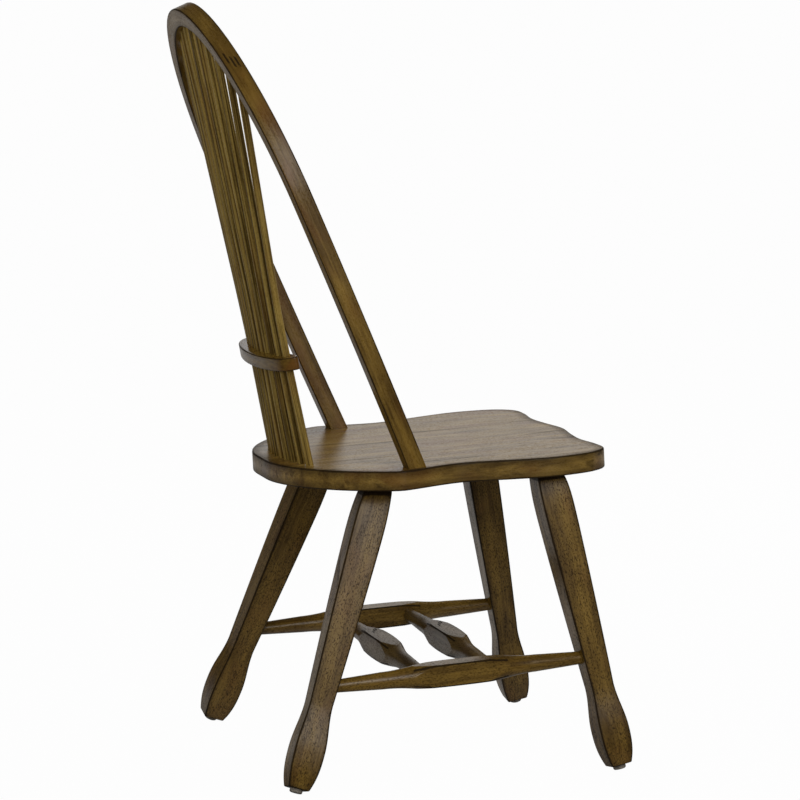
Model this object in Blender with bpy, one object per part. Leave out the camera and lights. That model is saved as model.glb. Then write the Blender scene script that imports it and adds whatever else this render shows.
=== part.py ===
"""Sheaf back chair: a wooden dining chair with a bent bow and a sheaf of spindles gathered by a band.

Units are metres and +Z is up. The chair faces -Y, and +X is the sitter's left. The floor is at Z = 0.
"""

import math

import bmesh
import bpy
from mathutils import Matrix, Vector

MM = 0.001

# Fits
CLEARANCE = 0.3 * MM
CUT_OVERRUN = 6 * MM

# Seat board, pitched so that its front is higher
SEAT_HEIGHT = 453.3 * MM
SEAT_PITCH = math.radians(3.05)
SEAT_THICKNESS = 28.3 * MM
SEAT_TOP_EASE = 1.5 * MM
SEAT_UNDER_EASE = 2 * MM
SEAT_EASE_SEGMENTS = 2
SEAT_CURVE_STEPS = 3
# The tail is measured from the middle of the row of spindles, and the ears from the bow's feet
SEAT_TAIL = ((0 * MM, 28.5 * MM), (58 * MM, 25.5 * MM), (118 * MM, 4.5 * MM), (174 * MM, -36 * MM))
SEAT_EAR = ((-4 * MM, 47.6 * MM), (12.8 * MM, 17.6 * MM), (11.8 * MM, -4.4 * MM), (0 * MM, -47.4 * MM))
SEAT_WAIST = ((213.5 * MM, -10 * MM), (218 * MM, -40 * MM), (230 * MM, -83 * MM))
SEAT_LOBE = ((240 * MM, -130 * MM), (239 * MM, -170 * MM), (228 * MM, -206 * MM), (202 * MM, -229.5 * MM))
SEAT_FRONT = ((160 * MM, -231.5 * MM), (110 * MM, -226 * MM), (60 * MM, -229.5 * MM), (0 * MM, -236.5 * MM))

# Legs: a square section that changes along the leg, measured at heights above the floor
REAR_LEG_TOP_X = 148.9 * MM
REAR_LEG_TOP_Y = 94 * MM
REAR_LEG_FOOT_X = 251.7 * MM
REAR_LEG_FOOT_Y = 244.5 * MM
FRONT_LEG_TOP_X = 168.7 * MM
FRONT_LEG_TOP_Y = -151.7 * MM
FRONT_LEG_FOOT_X = 239.1 * MM
FRONT_LEG_FOOT_Y = -244.3 * MM
LEG_SOLE_HEIGHT = 8.3 * MM
LEG_SOLE_WIDTH = 30 * MM
LEG_SOLE_EASE = 2.2 * MM
LEG_PADDLE_HEIGHT = 59 * MM
LEG_PADDLE_WIDTH = 44.3 * MM
LEG_WAIST_HEIGHT = 121 * MM
LEG_WAIST_WIDTH = 33.8 * MM
LEG_THIGH_WIDTH = 46.2 * MM
LEG_TOP_WIDTH = 38.5 * MM
LEG_SHOULDER_LENGTH = 52 * MM
LEG_SOLE_ROUNDING = 2.6
LEG_THIGH_ROUNDING = 1.3
LEG_TOP_ROUNDING = 3.0
LEG_STRETCH_STEPS = 4
LEG_EDGE_EASE = 1.2 * MM
LEG_TENON_RADIUS = 11 * MM
LEG_TENON_DEPTH = 16 * MM

# Stretchers: turned, with four flats on the bulge
STRETCHER_END_RADIUS = 9.2 * MM
STRETCHER_NECK_RADIUS = 11 * MM
STRETCHER_SHOULDER_RADIUS = 16.5 * MM
STRETCHER_BULGE_RADIUS = 20 * MM
STRETCHER_FLAT_WIDTH = 32.6 * MM
STRETCHER_SHOULDER_LENGTH = 46 * MM
SIDE_STRETCHER_BULGE_LENGTH = 180 * MM
CROSS_STRETCHER_BULGE_LENGTH = 164 * MM
STRETCHER_BULGE_STEPS = 5
STRETCHER_SHOULDER_STEPS = 4
STRETCHER_SOCKET_DEPTH = 13 * MM
STRETCHER_PLAIN_LENGTH = 5 * MM
SIDE_STRETCHER_REAR_HEIGHT = 143.4 * MM
SIDE_STRETCHER_FRONT_HEIGHT = 163.7 * MM
CROSS_REAR_SETBACK = 150.5 * MM
CROSS_FRONT_SETBACK = 252 * MM

# Bow: two limbs and half an ellipse, in a plane that leans back
BOW_LEAN = math.radians(23.66)
BOW_FOOT_Y = 68.4 * MM
BOW_FOOT_HALF_WIDTH = 218.2 * MM
BOW_HALF_WIDTH = 237.2 * MM
BOW_LIMB_LENGTH = 407.6 * MM
BOW_CROWN_HEIGHT = 290.9 * MM
BOW_THICKNESS = 27 * MM
BOW_DEPTH = 25.8 * MM
BOW_EDGE_EASE = 1.5 * MM
BOW_LIMB_STEPS = 6
BOW_CROWN_STEPS = 36
BOW_TENON_RADIUS = 9.5 * MM
BOW_TENON_DEPTH = 16 * MM

# Spindles of the sheaf, spread in even steps at the seat, at the band and round the bow's crown
SPINDLE_COUNT = 11
SPINDLE_SEAT_HALF_SPREAD = 104.8 * MM
SPINDLE_SEAT_Y = 199 * MM
SPINDLE_SEAT_SAG = 17.8 * MM
SPINDLE_BAND_HALF_SPREAD = 104 * MM
SPINDLE_BAND_SAG = 12.2 * MM
SPINDLE_CROWN_HALF_ANGLE = math.radians(46.3)
SPINDLE_FOOT_RADIUS = 5.35 * MM
SPINDLE_TOP_RADIUS = 4.4 * MM
SPINDLE_SEAT_DEPTH = 15 * MM
SPINDLE_BOW_DEPTH = 13 * MM
SPINDLE_BEND_REACH = 50 * MM
SPINDLE_BEND_STEPS = 5
SPINDLE_BEVEL_STEPS = 2

# Band round the sheaf
BAND_Y = 224.6 * MM
BAND_Z = 590 * MM
BAND_LEAN = math.radians(11)
BAND_HEIGHT = 19 * MM
BAND_END_REACH = 23.5 * MM
BAND_END_SQUARENESS = 10
BAND_BEHIND_SPINDLES = 19 * MM
BAND_BEFORE_SPINDLES = 12 * MM
BAND_EDGE_EASE = 1 * MM
BAND_OUTLINE_STEPS = 36

# Foot glides and their nails
GLIDE_FLANGE_RADIUS = 8.8 * MM
GLIDE_FLANGE_THICKNESS = 1.5 * MM
GLIDE_DOME_DROP = 1 * MM
GLIDE_FLOOR_CUT = 0.4 * MM
GLIDE_DOME_STEPS = 5
NAIL_RADIUS = 1.6 * MM
NAIL_POINT_LENGTH = 4 * MM
NAIL_GLIDE_DEPTH = 4 * MM
NAIL_LEG_DEPTH = 20 * MM

# Facets round turned pieces and round holes
TURNED_SIDES = 20
HOLE_SIDES = 12
SHARP_EDGE_ANGLE = math.radians(35)

# Finishes: linear colour, roughness and metallic value
SEAT_WOOD = ("seat_wood", (0.100, 0.075, 0.045), 0.45, 0.0)
FRAME_WOOD = ("frame_wood", (0.080, 0.058, 0.030), 0.45, 0.0)
SPINDLE_WOOD = ("spindle_wood", (0.095, 0.070, 0.032), 0.45, 0.0)
GLIDE_NYLON = ("glide_nylon", (0.20, 0.18, 0.15), 0.50, 0.0)
NAIL_STEEL = ("nail_steel", (0.45, 0.45, 0.45), 0.35, 1.0)

SIDES = {"left": 1, "right": -1}


def clear_scene():
    """Empties the scene."""
    for item in list(bpy.data.objects):
        bpy.data.objects.remove(item, do_unlink=True)


def material_for(finish):
    """The material of a finish, made the first time it is asked for."""
    name, colour, roughness, metallic = finish
    material = bpy.data.materials.get(name)
    if material is None:
        material = bpy.data.materials.new(name)
        material.use_nodes = True
        shader = material.node_tree.nodes["Principled BSDF"]
        shader.inputs["Base Color"].default_value = (*colour, 1.0)
        shader.inputs["Roughness"].default_value = roughness
        shader.inputs["Metallic"].default_value = metallic
        material.diffuse_color = (*colour, 1.0)
    return material


def smooth_loop(points, steps):
    """A closed curve through the points, with this many steps from each point to the next."""
    found = []
    count = len(points)
    for i in range(count):
        before, start, end, after = (points[(i + k) % count] for k in (-1, 0, 1, 2))
        for step in range(steps):
            t = step / steps
            rise = (end - before) * t + (2 * before - 5 * start + 4 * end - after) * t**2
            found.append(start + (rise + (3 * start - before - 3 * end + after) * t**3) / 2)
    return found


def frame_along(origin, direction, toward):
    """A frame at origin whose Z runs along direction and whose Y leans toward the other vector."""
    z = direction.normalized()
    x = toward.cross(z).normalized()
    y = z.cross(x)
    frame = Matrix((x, y, z)).transposed().to_4x4()
    frame.translation = origin
    return frame


def place(name, data, frame, root, finish):
    """Adds a piece to the scene in its frame, under the chair's root."""
    piece = bpy.data.objects.new(name, data)
    bpy.context.scene.collection.objects.link(piece)
    piece.parent = root
    piece.location = frame.to_translation()
    piece.rotation_euler = frame.to_euler()
    data.materials.append(material_for(finish))
    return piece


def mesh_from(name, shape):
    """A mesh made from a finished bmesh, smooth across shallow edges."""
    bmesh.ops.recalc_face_normals(shape, faces=shape.faces)
    mesh = bpy.data.meshes.new(name)
    shape.to_mesh(mesh)
    shape.free()
    mesh.shade_smooth()
    mesh.set_sharp_from_angle(angle=SHARP_EDGE_ANGLE)
    return mesh


def loft(name, rings):
    """A closed skin through rings of points that all have the same count."""
    shape = bmesh.new()
    loops = [[shape.verts.new(point) for point in ring] for ring in rings]
    for lower, upper in zip(loops, loops[1:]):
        for i in range(len(lower)):
            shape.faces.new((lower[i - 1], lower[i], upper[i], upper[i - 1]))
    shape.faces.new(loops[0])
    shape.faces.new(loops[-1])
    return mesh_from(name, shape)


def turned(name, profile, sides):
    """A solid turned about Z from (radius, height) pairs."""
    shape = bmesh.new()
    line = [shape.verts.new((radius, 0, height)) for radius, height in profile]
    edges = [shape.edges.new(pair) for pair in zip(line, line[1:])]
    bmesh.ops.spin(
        shape, geom=line + edges, axis=(0, 0, 1), cent=(0, 0, 0), steps=sides, angle=math.tau, use_merge=True
    )
    bmesh.ops.remove_doubles(shape, verts=shape.verts, dist=CLEARANCE / 100)
    return mesh_from(name, shape)


def rod(name, radius, start, end, sides=HOLE_SIDES):
    """A plain round rod along Z."""
    return turned(name, [(0, start), (radius, start), (radius, end), (0, end)], sides)


def helper(name, data, frame, root):
    """A hidden shape that cuts or joins a piece."""
    shape = bpy.data.objects.new(name, data)
    bpy.context.scene.collection.objects.link(shape)
    shape.parent = root
    shape.location = frame.to_translation()
    shape.rotation_euler = frame.to_euler()
    shape.hide_render = True
    shape.display_type = "WIRE"
    return shape


def combine(piece, other, operation):
    """Adds a Boolean of the piece with a hidden shape."""
    modifier = piece.modifiers.new(other.name, "BOOLEAN")
    modifier.operation = operation
    modifier.object = other


def drill(piece, name, radius, frame, start, end, root):
    """Cuts a round hole along a frame's Z, with the clearance kept on the hole's flats."""
    corner_radius = (radius + CLEARANCE) / math.cos(math.pi / HOLE_SIDES)
    combine(piece, helper(name, rod(name, corner_radius, start, end), frame, root), "DIFFERENCE")


def seat_frame():
    """The frame of the seat's top face, whose Z is the face's normal."""
    return Matrix.Translation((0, 0, SEAT_HEIGHT)) @ Matrix.Rotation(-SEAT_PITCH, 4, "X")


def on_seat(x, y, drop=0.0):
    """The point above x, y on the seat's top, or on a plane this far under it."""
    normal = seat_frame().col[2].to_3d()
    through = Vector((0, 0, SEAT_HEIGHT)) - normal * drop
    return Vector((x, y, through.z - (normal.x * x + normal.y * (y - through.y)) / normal.z))


def build_seat(root):
    """The seat board: a smooth outline, extruded, with eased edges."""
    tail = [Vector((x, SPINDLE_SEAT_Y + y)) for x, y in SEAT_TAIL]
    ear = [Vector((BOW_FOOT_HALF_WIDTH + x, BOW_FOOT_Y + y)) for x, y in SEAT_EAR]
    half = tail + ear + [Vector(p) for p in SEAT_WAIST + SEAT_LOBE + SEAT_FRONT]
    mirrored = [Vector((-p.x, p.y)) for p in reversed(half[1:-1])]
    shape = bmesh.new()
    top = [shape.verts.new((p.x, p.y, 0)) for p in smooth_loop(half + mirrored, SEAT_CURVE_STEPS)]
    grown = bmesh.ops.extrude_face_region(shape, geom=[shape.faces.new(top)])
    under = [item for item in grown["geom"] if isinstance(item, bmesh.types.BMVert)]
    bmesh.ops.translate(shape, verts=under, vec=(0, 0, -SEAT_THICKNESS))
    for ring, ease in ((top, SEAT_TOP_EASE), (under, SEAT_UNDER_EASE)):
        members = set(ring)
        rim = [edge for edge in shape.edges if set(edge.verts) <= members]
        bmesh.ops.bevel(
            shape, geom=rim, offset=ease, segments=SEAT_EASE_SEGMENTS, profile=0.5, affect="EDGES"
        )
    return place("seat", mesh_from("seat", shape), seat_frame(), root, SEAT_WOOD)


class LegAxis:
    """Where one leg runs: its foot on the floor, its top at the seat's underside and its square frame."""

    def __init__(self, row, side):
        sign = SIDES[side]
        rear = row == "rear"
        top_x, top_y = (REAR_LEG_TOP_X, REAR_LEG_TOP_Y) if rear else (FRONT_LEG_TOP_X, FRONT_LEG_TOP_Y)
        foot_x, foot_y = (REAR_LEG_FOOT_X, REAR_LEG_FOOT_Y) if rear else (FRONT_LEG_FOOT_X, FRONT_LEG_FOOT_Y)
        self.name = f"{row}_{side}"
        self.stretcher_height = SIDE_STRETCHER_REAR_HEIGHT if rear else SIDE_STRETCHER_FRONT_HEIGHT
        self.foot = Vector((sign * foot_x, foot_y, 0))
        self.top = on_seat(sign * top_x, top_y, SEAT_THICKNESS)
        self.direction = (self.top - self.foot).normalized()
        self.length = (self.top - self.foot).length

    def at_height(self, height):
        """The point of the axis at a height above the floor."""
        return self.foot + self.direction * (height / self.direction.z)

    def frame(self, stretcher_direction):
        """The leg's frame at its foot, with Y square to the leg along the side stretcher."""
        return frame_along(self.foot, self.direction, stretcher_direction)


def leg_width(height, top_height):
    """The side of the leg's square section at a height above the floor."""
    thigh_height = top_height - LEG_SHOULDER_LENGTH
    if height < LEG_PADDLE_HEIGHT:
        t = (LEG_PADDLE_HEIGHT - height) / (LEG_PADDLE_HEIGHT - LEG_SOLE_HEIGHT)
        return LEG_PADDLE_WIDTH - (LEG_PADDLE_WIDTH - LEG_SOLE_WIDTH) * t**LEG_SOLE_ROUNDING
    if height < LEG_WAIST_HEIGHT:
        t = (height - LEG_PADDLE_HEIGHT) / (LEG_WAIST_HEIGHT - LEG_PADDLE_HEIGHT)
        return LEG_PADDLE_WIDTH - (LEG_PADDLE_WIDTH - LEG_WAIST_WIDTH) * (1 - math.cos(math.pi * t)) / 2
    if height < thigh_height:
        t = (thigh_height - height) / (thigh_height - LEG_WAIST_HEIGHT)
        return LEG_THIGH_WIDTH - (LEG_THIGH_WIDTH - LEG_WAIST_WIDTH) * t**LEG_THIGH_ROUNDING
    t = (height - thigh_height) / LEG_SHOULDER_LENGTH
    return LEG_THIGH_WIDTH - (LEG_THIGH_WIDTH - LEG_TOP_WIDTH) * t**LEG_TOP_ROUNDING


def shoulder_distance(axis, frame):
    """How far up the leg its square shoulder can go before a corner meets the seat's underside."""
    normal = seat_frame().col[2].to_3d()
    half = LEG_TOP_WIDTH / 2
    across, along = frame.col[0].to_3d(), frame.col[1].to_3d()
    highest = half * (abs(normal.dot(across)) + abs(normal.dot(along)))
    return axis.length - (highest + CLEARANCE) / normal.dot(axis.direction)


def eased_square(width, ease, height):
    """A square ring about Z with its corners cut off."""
    far, near = width / 2, width / 2 - ease
    corner = ((far, -near), (far, near), (near, far), (-near, far), (-far, near), (-far, -near))
    return [Vector((x, y, height)) for x, y in corner + ((-near, -far), (near, -far))]


def build_leg(axis, stretcher_direction, root):
    """One leg with the tenon on its top."""
    frame = axis.frame(stretcher_direction)
    shoulder = shoulder_distance(axis, frame)
    slope = axis.direction.z
    top = shoulder * slope
    bottom = LEG_SOLE_HEIGHT + LEG_SOLE_EASE
    stops = [bottom, LEG_PADDLE_HEIGHT, LEG_WAIST_HEIGHT, top - LEG_SHOULDER_LENGTH, top]
    heights = [stops[0]]
    for low, high in zip(stops, stops[1:]):
        heights += [low + (high - low) * (i + 1) / LEG_STRETCH_STEPS for i in range(LEG_STRETCH_STEPS)]
    sole = eased_square(LEG_SOLE_WIDTH - 2 * LEG_SOLE_EASE, LEG_EDGE_EASE, LEG_SOLE_HEIGHT / slope)
    rings = [sole] + [eased_square(leg_width(z, top), LEG_EDGE_EASE, z / slope) for z in heights]
    name = f"leg_{axis.name}"
    leg = place(name, loft(name, rings), frame, root, FRAME_WOOD)
    tenon = rod(f"{name}_tenon", LEG_TENON_RADIUS, shoulder - CUT_OVERRUN, axis.length + LEG_TENON_DEPTH)
    combine(leg, helper(f"{name}_tenon", tenon, frame, root), "UNION")
    return leg


def drill_leg_socket(seat, axis, stretcher_direction, root):
    """The blind socket in the seat's underside for a leg's tenon."""
    frame = axis.frame(stretcher_direction)
    end = axis.length + LEG_TENON_DEPTH + CLEARANCE
    drill(seat, f"seat_socket_{axis.name}", LEG_TENON_RADIUS, frame, axis.length - 2 * CUT_OVERRUN, end, root)


def stretcher_profile(length, bulge_length):
    """The turned profile of a stretcher as (radius, distance from the middle) pairs, middle to end."""
    end = length / 2
    shoulder = bulge_length / 2
    neck = shoulder + STRETCHER_SHOULDER_LENGTH
    profile = []
    for i in range(STRETCHER_BULGE_STEPS):
        t = i / STRETCHER_BULGE_STEPS
        drop = (STRETCHER_BULGE_RADIUS - STRETCHER_SHOULDER_RADIUS) * t**2
        profile.append((STRETCHER_BULGE_RADIUS - drop, shoulder * t))
    for i in range(STRETCHER_SHOULDER_STEPS):
        t = i / STRETCHER_SHOULDER_STEPS
        drop = (STRETCHER_SHOULDER_RADIUS - STRETCHER_NECK_RADIUS) * math.sin(math.pi / 2 * t)
        profile.append((STRETCHER_SHOULDER_RADIUS - drop, shoulder + STRETCHER_SHOULDER_LENGTH * t))
    plain = end - STRETCHER_SOCKET_DEPTH - STRETCHER_PLAIN_LENGTH
    profile += [(STRETCHER_NECK_RADIUS, neck), (STRETCHER_END_RADIUS, plain), (STRETCHER_END_RADIUS, end)]
    return profile


def build_stretcher(name, start, end, bulge_length, root):
    """A turned stretcher between two points, with four flats cut on its bulge."""
    length = (end - start).length
    frame = frame_along((start + end) / 2, end - start, Vector((0, 0, 1)))
    half = stretcher_profile(length, bulge_length)
    below = [(radius, -distance) for radius, distance in reversed(half[1:])]
    profile = [(0, -length / 2)] + below + half + [(0, length / 2)]
    stretcher = place(name, turned(name, profile, TURNED_SIDES), frame, root, FRAME_WOOD)
    reach = length / 2 + CUT_OVERRUN
    rings = [eased_square(STRETCHER_FLAT_WIDTH, LEG_EDGE_EASE, z) for z in (-reach, reach)]
    flats = f"{name}_flats"
    combine(stretcher, helper(flats, loft(flats, rings), frame, root), "INTERSECT")
    return stretcher


def drill_stretcher_socket(piece, name, end, inward, root):
    """The blind socket for a stretcher's end, along the way that the stretcher runs in."""
    frame = frame_along(end, inward, Vector((0, 0, 1)))
    mouth = -STRETCHER_SOCKET_DEPTH - 2 * CUT_OVERRUN
    drill(piece, name, STRETCHER_END_RADIUS, frame, mouth, CLEARANCE, root)


def side_stretcher_ends(rear, front, top_heights):
    """The ends of a side stretcher, sunk in its two legs."""
    ends = []
    for here, other in ((rear, front), (front, rear)):
        start = here.at_height(here.stretcher_height)
        away = (other.at_height(other.stretcher_height) - start).normalized()
        face = leg_width(here.stretcher_height, top_heights[here.name]) / 2
        ends.append(start + away * (face - STRETCHER_SOCKET_DEPTH))
    return ends


def bow_frame():
    """The frame of the bow's rear plane: Y runs up the plane and Z points to the front."""
    foot = on_seat(0, BOW_FOOT_Y)
    return frame_along(foot, Vector((0, -math.cos(BOW_LEAN), math.sin(BOW_LEAN))), Vector((0, 0, 1)))


def crown_point(angle, inset):
    """A point of the crown in the bow's plane, at an angle from the top, this far inside the outer edge."""
    x = (BOW_HALF_WIDTH - inset) * math.sin(angle)
    return Vector((x, BOW_LIMB_LENGTH + (BOW_CROWN_HEIGHT - inset) * math.cos(angle), 0))


def limb_point(rise, inset):
    """A point of the bow's +X limb in the bow's plane, this far up it and inside its outer edge."""
    narrowing = (BOW_HALF_WIDTH - BOW_FOOT_HALF_WIDTH) * ((BOW_LIMB_LENGTH - rise) / BOW_LIMB_LENGTH) ** 2
    return Vector((BOW_HALF_WIDTH - narrowing - inset, rise, 0))


def bow_section(outer, inner):
    """The bow's section between a point of the outer edge and one of the inner edge, with its corners cut."""
    inward = (inner - outer).normalized()
    width = (inner - outer).length
    near, far = BOW_EDGE_EASE, width - BOW_EDGE_EASE
    rear, front = Vector((0, 0, 0)), Vector((0, 0, BOW_DEPTH))
    shallow, deep = Vector((0, 0, BOW_EDGE_EASE)), Vector((0, 0, BOW_DEPTH - BOW_EDGE_EASE))
    steps = ((near, rear), (far, rear), (width, shallow), (width, deep), (far, front), (near, front))
    return [outer + inward * t + depth for t, depth in steps + ((0, deep), (0, shallow))]


def bow_limb_axis(sign):
    """A point on the middle of a bow limb at the seat, and the way the limb runs down into the seat."""
    low, high = (limb_point(rise, BOW_THICKNESS / 2) for rise in (0, BOW_TENON_DEPTH))
    middle = Vector((0, 0, BOW_DEPTH / 2))
    mirror = Matrix.Diagonal((sign, 1, 1))
    frame = bow_frame()
    start = frame @ (mirror @ low + middle)
    return start, (start - frame @ (mirror @ high + middle)).normalized()


def build_bow(seat, root):
    """The bow: its section swept up a limb, round the crown and down again, with a tenon on each foot."""
    rises = [BOW_LIMB_LENGTH * i / BOW_LIMB_STEPS for i in range(BOW_LIMB_STEPS)]
    rises = [-BOW_DEPTH] + rises
    limb = [bow_section(limb_point(rise, 0), limb_point(rise, BOW_THICKNESS)) for rise in rises]
    angles = [math.pi * (0.5 - i / BOW_CROWN_STEPS) for i in range(BOW_CROWN_STEPS + 1)]
    crown = [bow_section(crown_point(a, 0), crown_point(a, BOW_THICKNESS)) for a in angles]
    other = [[Vector((-p.x, p.y, p.z)) for p in ring] for ring in reversed(limb)]
    bow = place("bow", loft("bow", limb + crown + other), bow_frame(), root, FRAME_WOOD)
    trim_to_seat(bow, root)
    for side, sign in SIDES.items():
        start, down = bow_limb_axis(sign)
        frame = frame_along(start, down, Vector((0, 1, 0)))
        name = f"bow_tenon_{side}"
        tenon = rod(name, BOW_TENON_RADIUS, -BOW_DEPTH, BOW_TENON_DEPTH)
        combine(bow, helper(name, tenon, frame, root), "UNION")
        end = BOW_TENON_DEPTH + CLEARANCE
        drill(seat, f"seat_{name}", BOW_TENON_RADIUS, frame, -BOW_DEPTH, end, root)
    return bow


def trim_to_seat(bow, root):
    """Cuts the bow's feet to the seat's top face."""
    half = BOW_HALF_WIDTH + BOW_THICKNESS
    corners = ((half, -half), (half, half), (-half, half), (-half, -half))
    rings = [[Vector((x, y, z)) for x, y in corners] for z in (-half, CLEARANCE)]
    combine(bow, helper("bow_foot_trim", loft("bow_foot_trim", rings), seat_frame(), root), "DIFFERENCE")


def band_frame():
    """The frame of the band's middle: Z runs up along the spindles and Y to the rear."""
    up = Vector((0, math.sin(BAND_LEAN), math.cos(BAND_LEAN)))
    return frame_along(Vector((0, BAND_Y, BAND_Z)), up, Vector((0, 1, 0)))


def band_row_y(x):
    """The row of spindles in the band's own plane."""
    return -SPINDLE_BAND_SAG * (x / SPINDLE_BAND_HALF_SPREAD) ** 2


def build_band(root):
    """The band: a curved bar with rounded ends that follows the row of spindles."""
    outline = []
    for i in range(BAND_OUTLINE_STEPS):
        angle = math.tau * (i + 0.5) / BAND_OUTLINE_STEPS
        x = (SPINDLE_BAND_HALF_SPREAD + BAND_END_REACH) * math.cos(angle)
        fullness = math.sqrt(1 - abs(math.cos(angle)) ** BAND_END_SQUARENESS)
        reach = BAND_BEHIND_SPINDLES if math.sin(angle) > 0 else -BAND_BEFORE_SPINDLES
        outline.append((x, band_row_y(x) + reach * fullness))
    rings = [[Vector((x, y, z)) for x, y in outline] for z in (-BAND_HEIGHT / 2, BAND_HEIGHT / 2)]
    band = place("band", loft("band", rings), band_frame(), root, FRAME_WOOD)
    ease = band.modifiers.new("eased_edges", "BEVEL")
    ease.width = BAND_EDGE_EASE
    ease.segments = 1
    ease.limit_method = "ANGLE"
    ease.angle_limit = math.radians(60)
    return band


class SpindlePath:
    """The run of one spindle: straight from the seat through the band, bent above it, straight to the bow."""

    def __init__(self, index):
        share = 2 * index / (SPINDLE_COUNT - 1) - 1
        x = SPINDLE_BAND_HALF_SPREAD * share
        self.foot = on_seat(SPINDLE_SEAT_HALF_SPREAD * share, SPINDLE_SEAT_Y - SPINDLE_SEAT_SAG * share**2)
        self.band = band_frame() @ Vector((x, band_row_y(x), 0))
        self.low = (self.band - self.foot).normalized()
        self.knee = self.band + self.low * (BAND_HEIGHT / 2 + SPINDLE_BEND_REACH)
        inner = crown_point(SPINDLE_CROWN_HALF_ANGLE * share, BOW_THICKNESS)
        self.head = bow_frame() @ (inner + Vector((0, 0, BOW_DEPTH / 2)))
        self.high = (self.head - self.knee).normalized()

    def radius_at(self, height):
        """The spindle's radius, which falls evenly from the seat to the bow."""
        t = (height - self.foot.z) / (self.head.z - self.foot.z)
        return SPINDLE_FOOT_RADIUS + (SPINDLE_TOP_RADIUS - SPINDLE_FOOT_RADIUS) * t

    def points(self):
        """The points of the path from the end in the seat to the end in the bow."""
        start = self.knee - self.low * SPINDLE_BEND_REACH
        end = self.knee + self.high * SPINDLE_BEND_REACH
        bend = []
        for i in range(SPINDLE_BEND_STEPS + 1):
            t = i / SPINDLE_BEND_STEPS
            bend.append(start * (1 - t) ** 2 + self.knee * (2 * t * (1 - t)) + end * t**2)
        first = self.foot - self.low * SPINDLE_SEAT_DEPTH
        last = self.head + self.high * SPINDLE_BOW_DEPTH
        return [first] + bend + [last]


def build_spindle(index, root):
    """One spindle: a tapered round rod along its path."""
    path = SpindlePath(index)
    name = f"spindle_{index + 1:02d}"
    curve = bpy.data.curves.new(name, "CURVE")
    curve.dimensions = "3D"
    curve.bevel_depth = 1.0
    curve.bevel_resolution = SPINDLE_BEVEL_STEPS
    curve.use_fill_caps = True
    points = path.points()
    spline = curve.splines.new("POLY")
    spline.points.add(len(points) - 1)
    for slot, point in zip(spline.points, points):
        slot.co = (*(point - path.foot), 1.0)
        slot.radius = path.radius_at(point.z)
    return place(name, curve, Matrix.Translation(path.foot), root, SPINDLE_WOOD)


def drill_spindle_holes(index, seat, band, bow, root):
    """The spindle's sockets in the seat and the bow and its hole through the band."""
    path = SpindlePath(index)
    label = f"{index + 1:02d}"
    side = Vector((0, 1, 0))
    foot = frame_along(path.foot, path.low, side)
    drill(
        seat, f"seat_hole_{label}", path.radius_at(path.foot.z - SPINDLE_SEAT_DEPTH), foot,
        -SPINDLE_SEAT_DEPTH - CLEARANCE, CUT_OVERRUN, root,
    )
    through = frame_along(path.band, path.low, side)
    drill(
        band, f"band_hole_{label}", path.radius_at(path.band.z - BAND_HEIGHT), through,
        -BAND_HEIGHT, BAND_HEIGHT, root,
    )
    head = frame_along(path.head, path.high, side)
    drill(
        bow, f"bow_hole_{label}", path.radius_at(path.head.z - BOW_THICKNESS), head,
        -BOW_THICKNESS / 2, SPINDLE_BOW_DEPTH + CLEARANCE, root,
    )


def glide_dome_radius(axis):
    """The dome's radius that reaches the floor and is cut by it."""
    centre = LEG_SOLE_HEIGHT - (CLEARANCE + GLIDE_DOME_DROP) * axis.direction.z
    return centre + GLIDE_FLOOR_CUT


def build_glide(axis, leg, root):
    """A foot glide with its nail: a flange and a dome under the sole, cut flat by the floor."""
    radius = glide_dome_radius(axis)
    frame = frame_along(axis.at_height(LEG_SOLE_HEIGHT), -axis.direction, Vector((0, 1, 0)))
    top = CLEARANCE
    rim = top + GLIDE_FLANGE_THICKNESS
    centre = top + GLIDE_DOME_DROP
    profile = [(0, top), (GLIDE_FLANGE_RADIUS, top), (GLIDE_FLANGE_RADIUS, rim)]
    start = math.asin((rim - centre) / radius)
    for i in range(GLIDE_DOME_STEPS + 1):
        angle = start + (math.pi / 2 - start) * i / GLIDE_DOME_STEPS
        profile.append((radius * math.cos(angle), centre + radius * math.sin(angle)))
    name = f"glide_{axis.name}"
    glide = place(name, turned(name, profile, TURNED_SIDES), frame, root, GLIDE_NYLON)
    floor_cut(glide, axis, root)
    nail_hole = f"{name}_nail_hole"
    drill(glide, nail_hole, NAIL_RADIUS, frame, -CUT_OVERRUN, top + NAIL_GLIDE_DEPTH + CLEARANCE, root)
    leg_hole = f"leg_{axis.name}_nail_hole"
    drill(leg, leg_hole, NAIL_RADIUS, frame, -NAIL_LEG_DEPTH - CLEARANCE, CUT_OVERRUN, root)
    shank = [(NAIL_RADIUS, NAIL_POINT_LENGTH - NAIL_LEG_DEPTH), (NAIL_RADIUS, top + NAIL_GLIDE_DEPTH)]
    nail = [(0, -NAIL_LEG_DEPTH)] + shank + [(0, top + NAIL_GLIDE_DEPTH)]
    nail_name = f"nail_{axis.name}"
    place(nail_name, turned(nail_name, nail, HOLE_SIDES // 2), frame, root, NAIL_STEEL)


def floor_cut(glide, axis, root):
    """Cuts a glide flat where it stands on the floor."""
    half = 2 * GLIDE_FLANGE_RADIUS
    corners = ((half, -half), (half, half), (-half, half), (-half, -half))
    rings = [[Vector((x, y, z)) for x, y in corners] for z in (-half, 0)]
    name = f"floor_cut_{axis.name}"
    sole = axis.at_height(0)
    combine(glide, helper(name, loft(name, rings), Matrix.Translation(sole), root), "DIFFERENCE")


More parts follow.
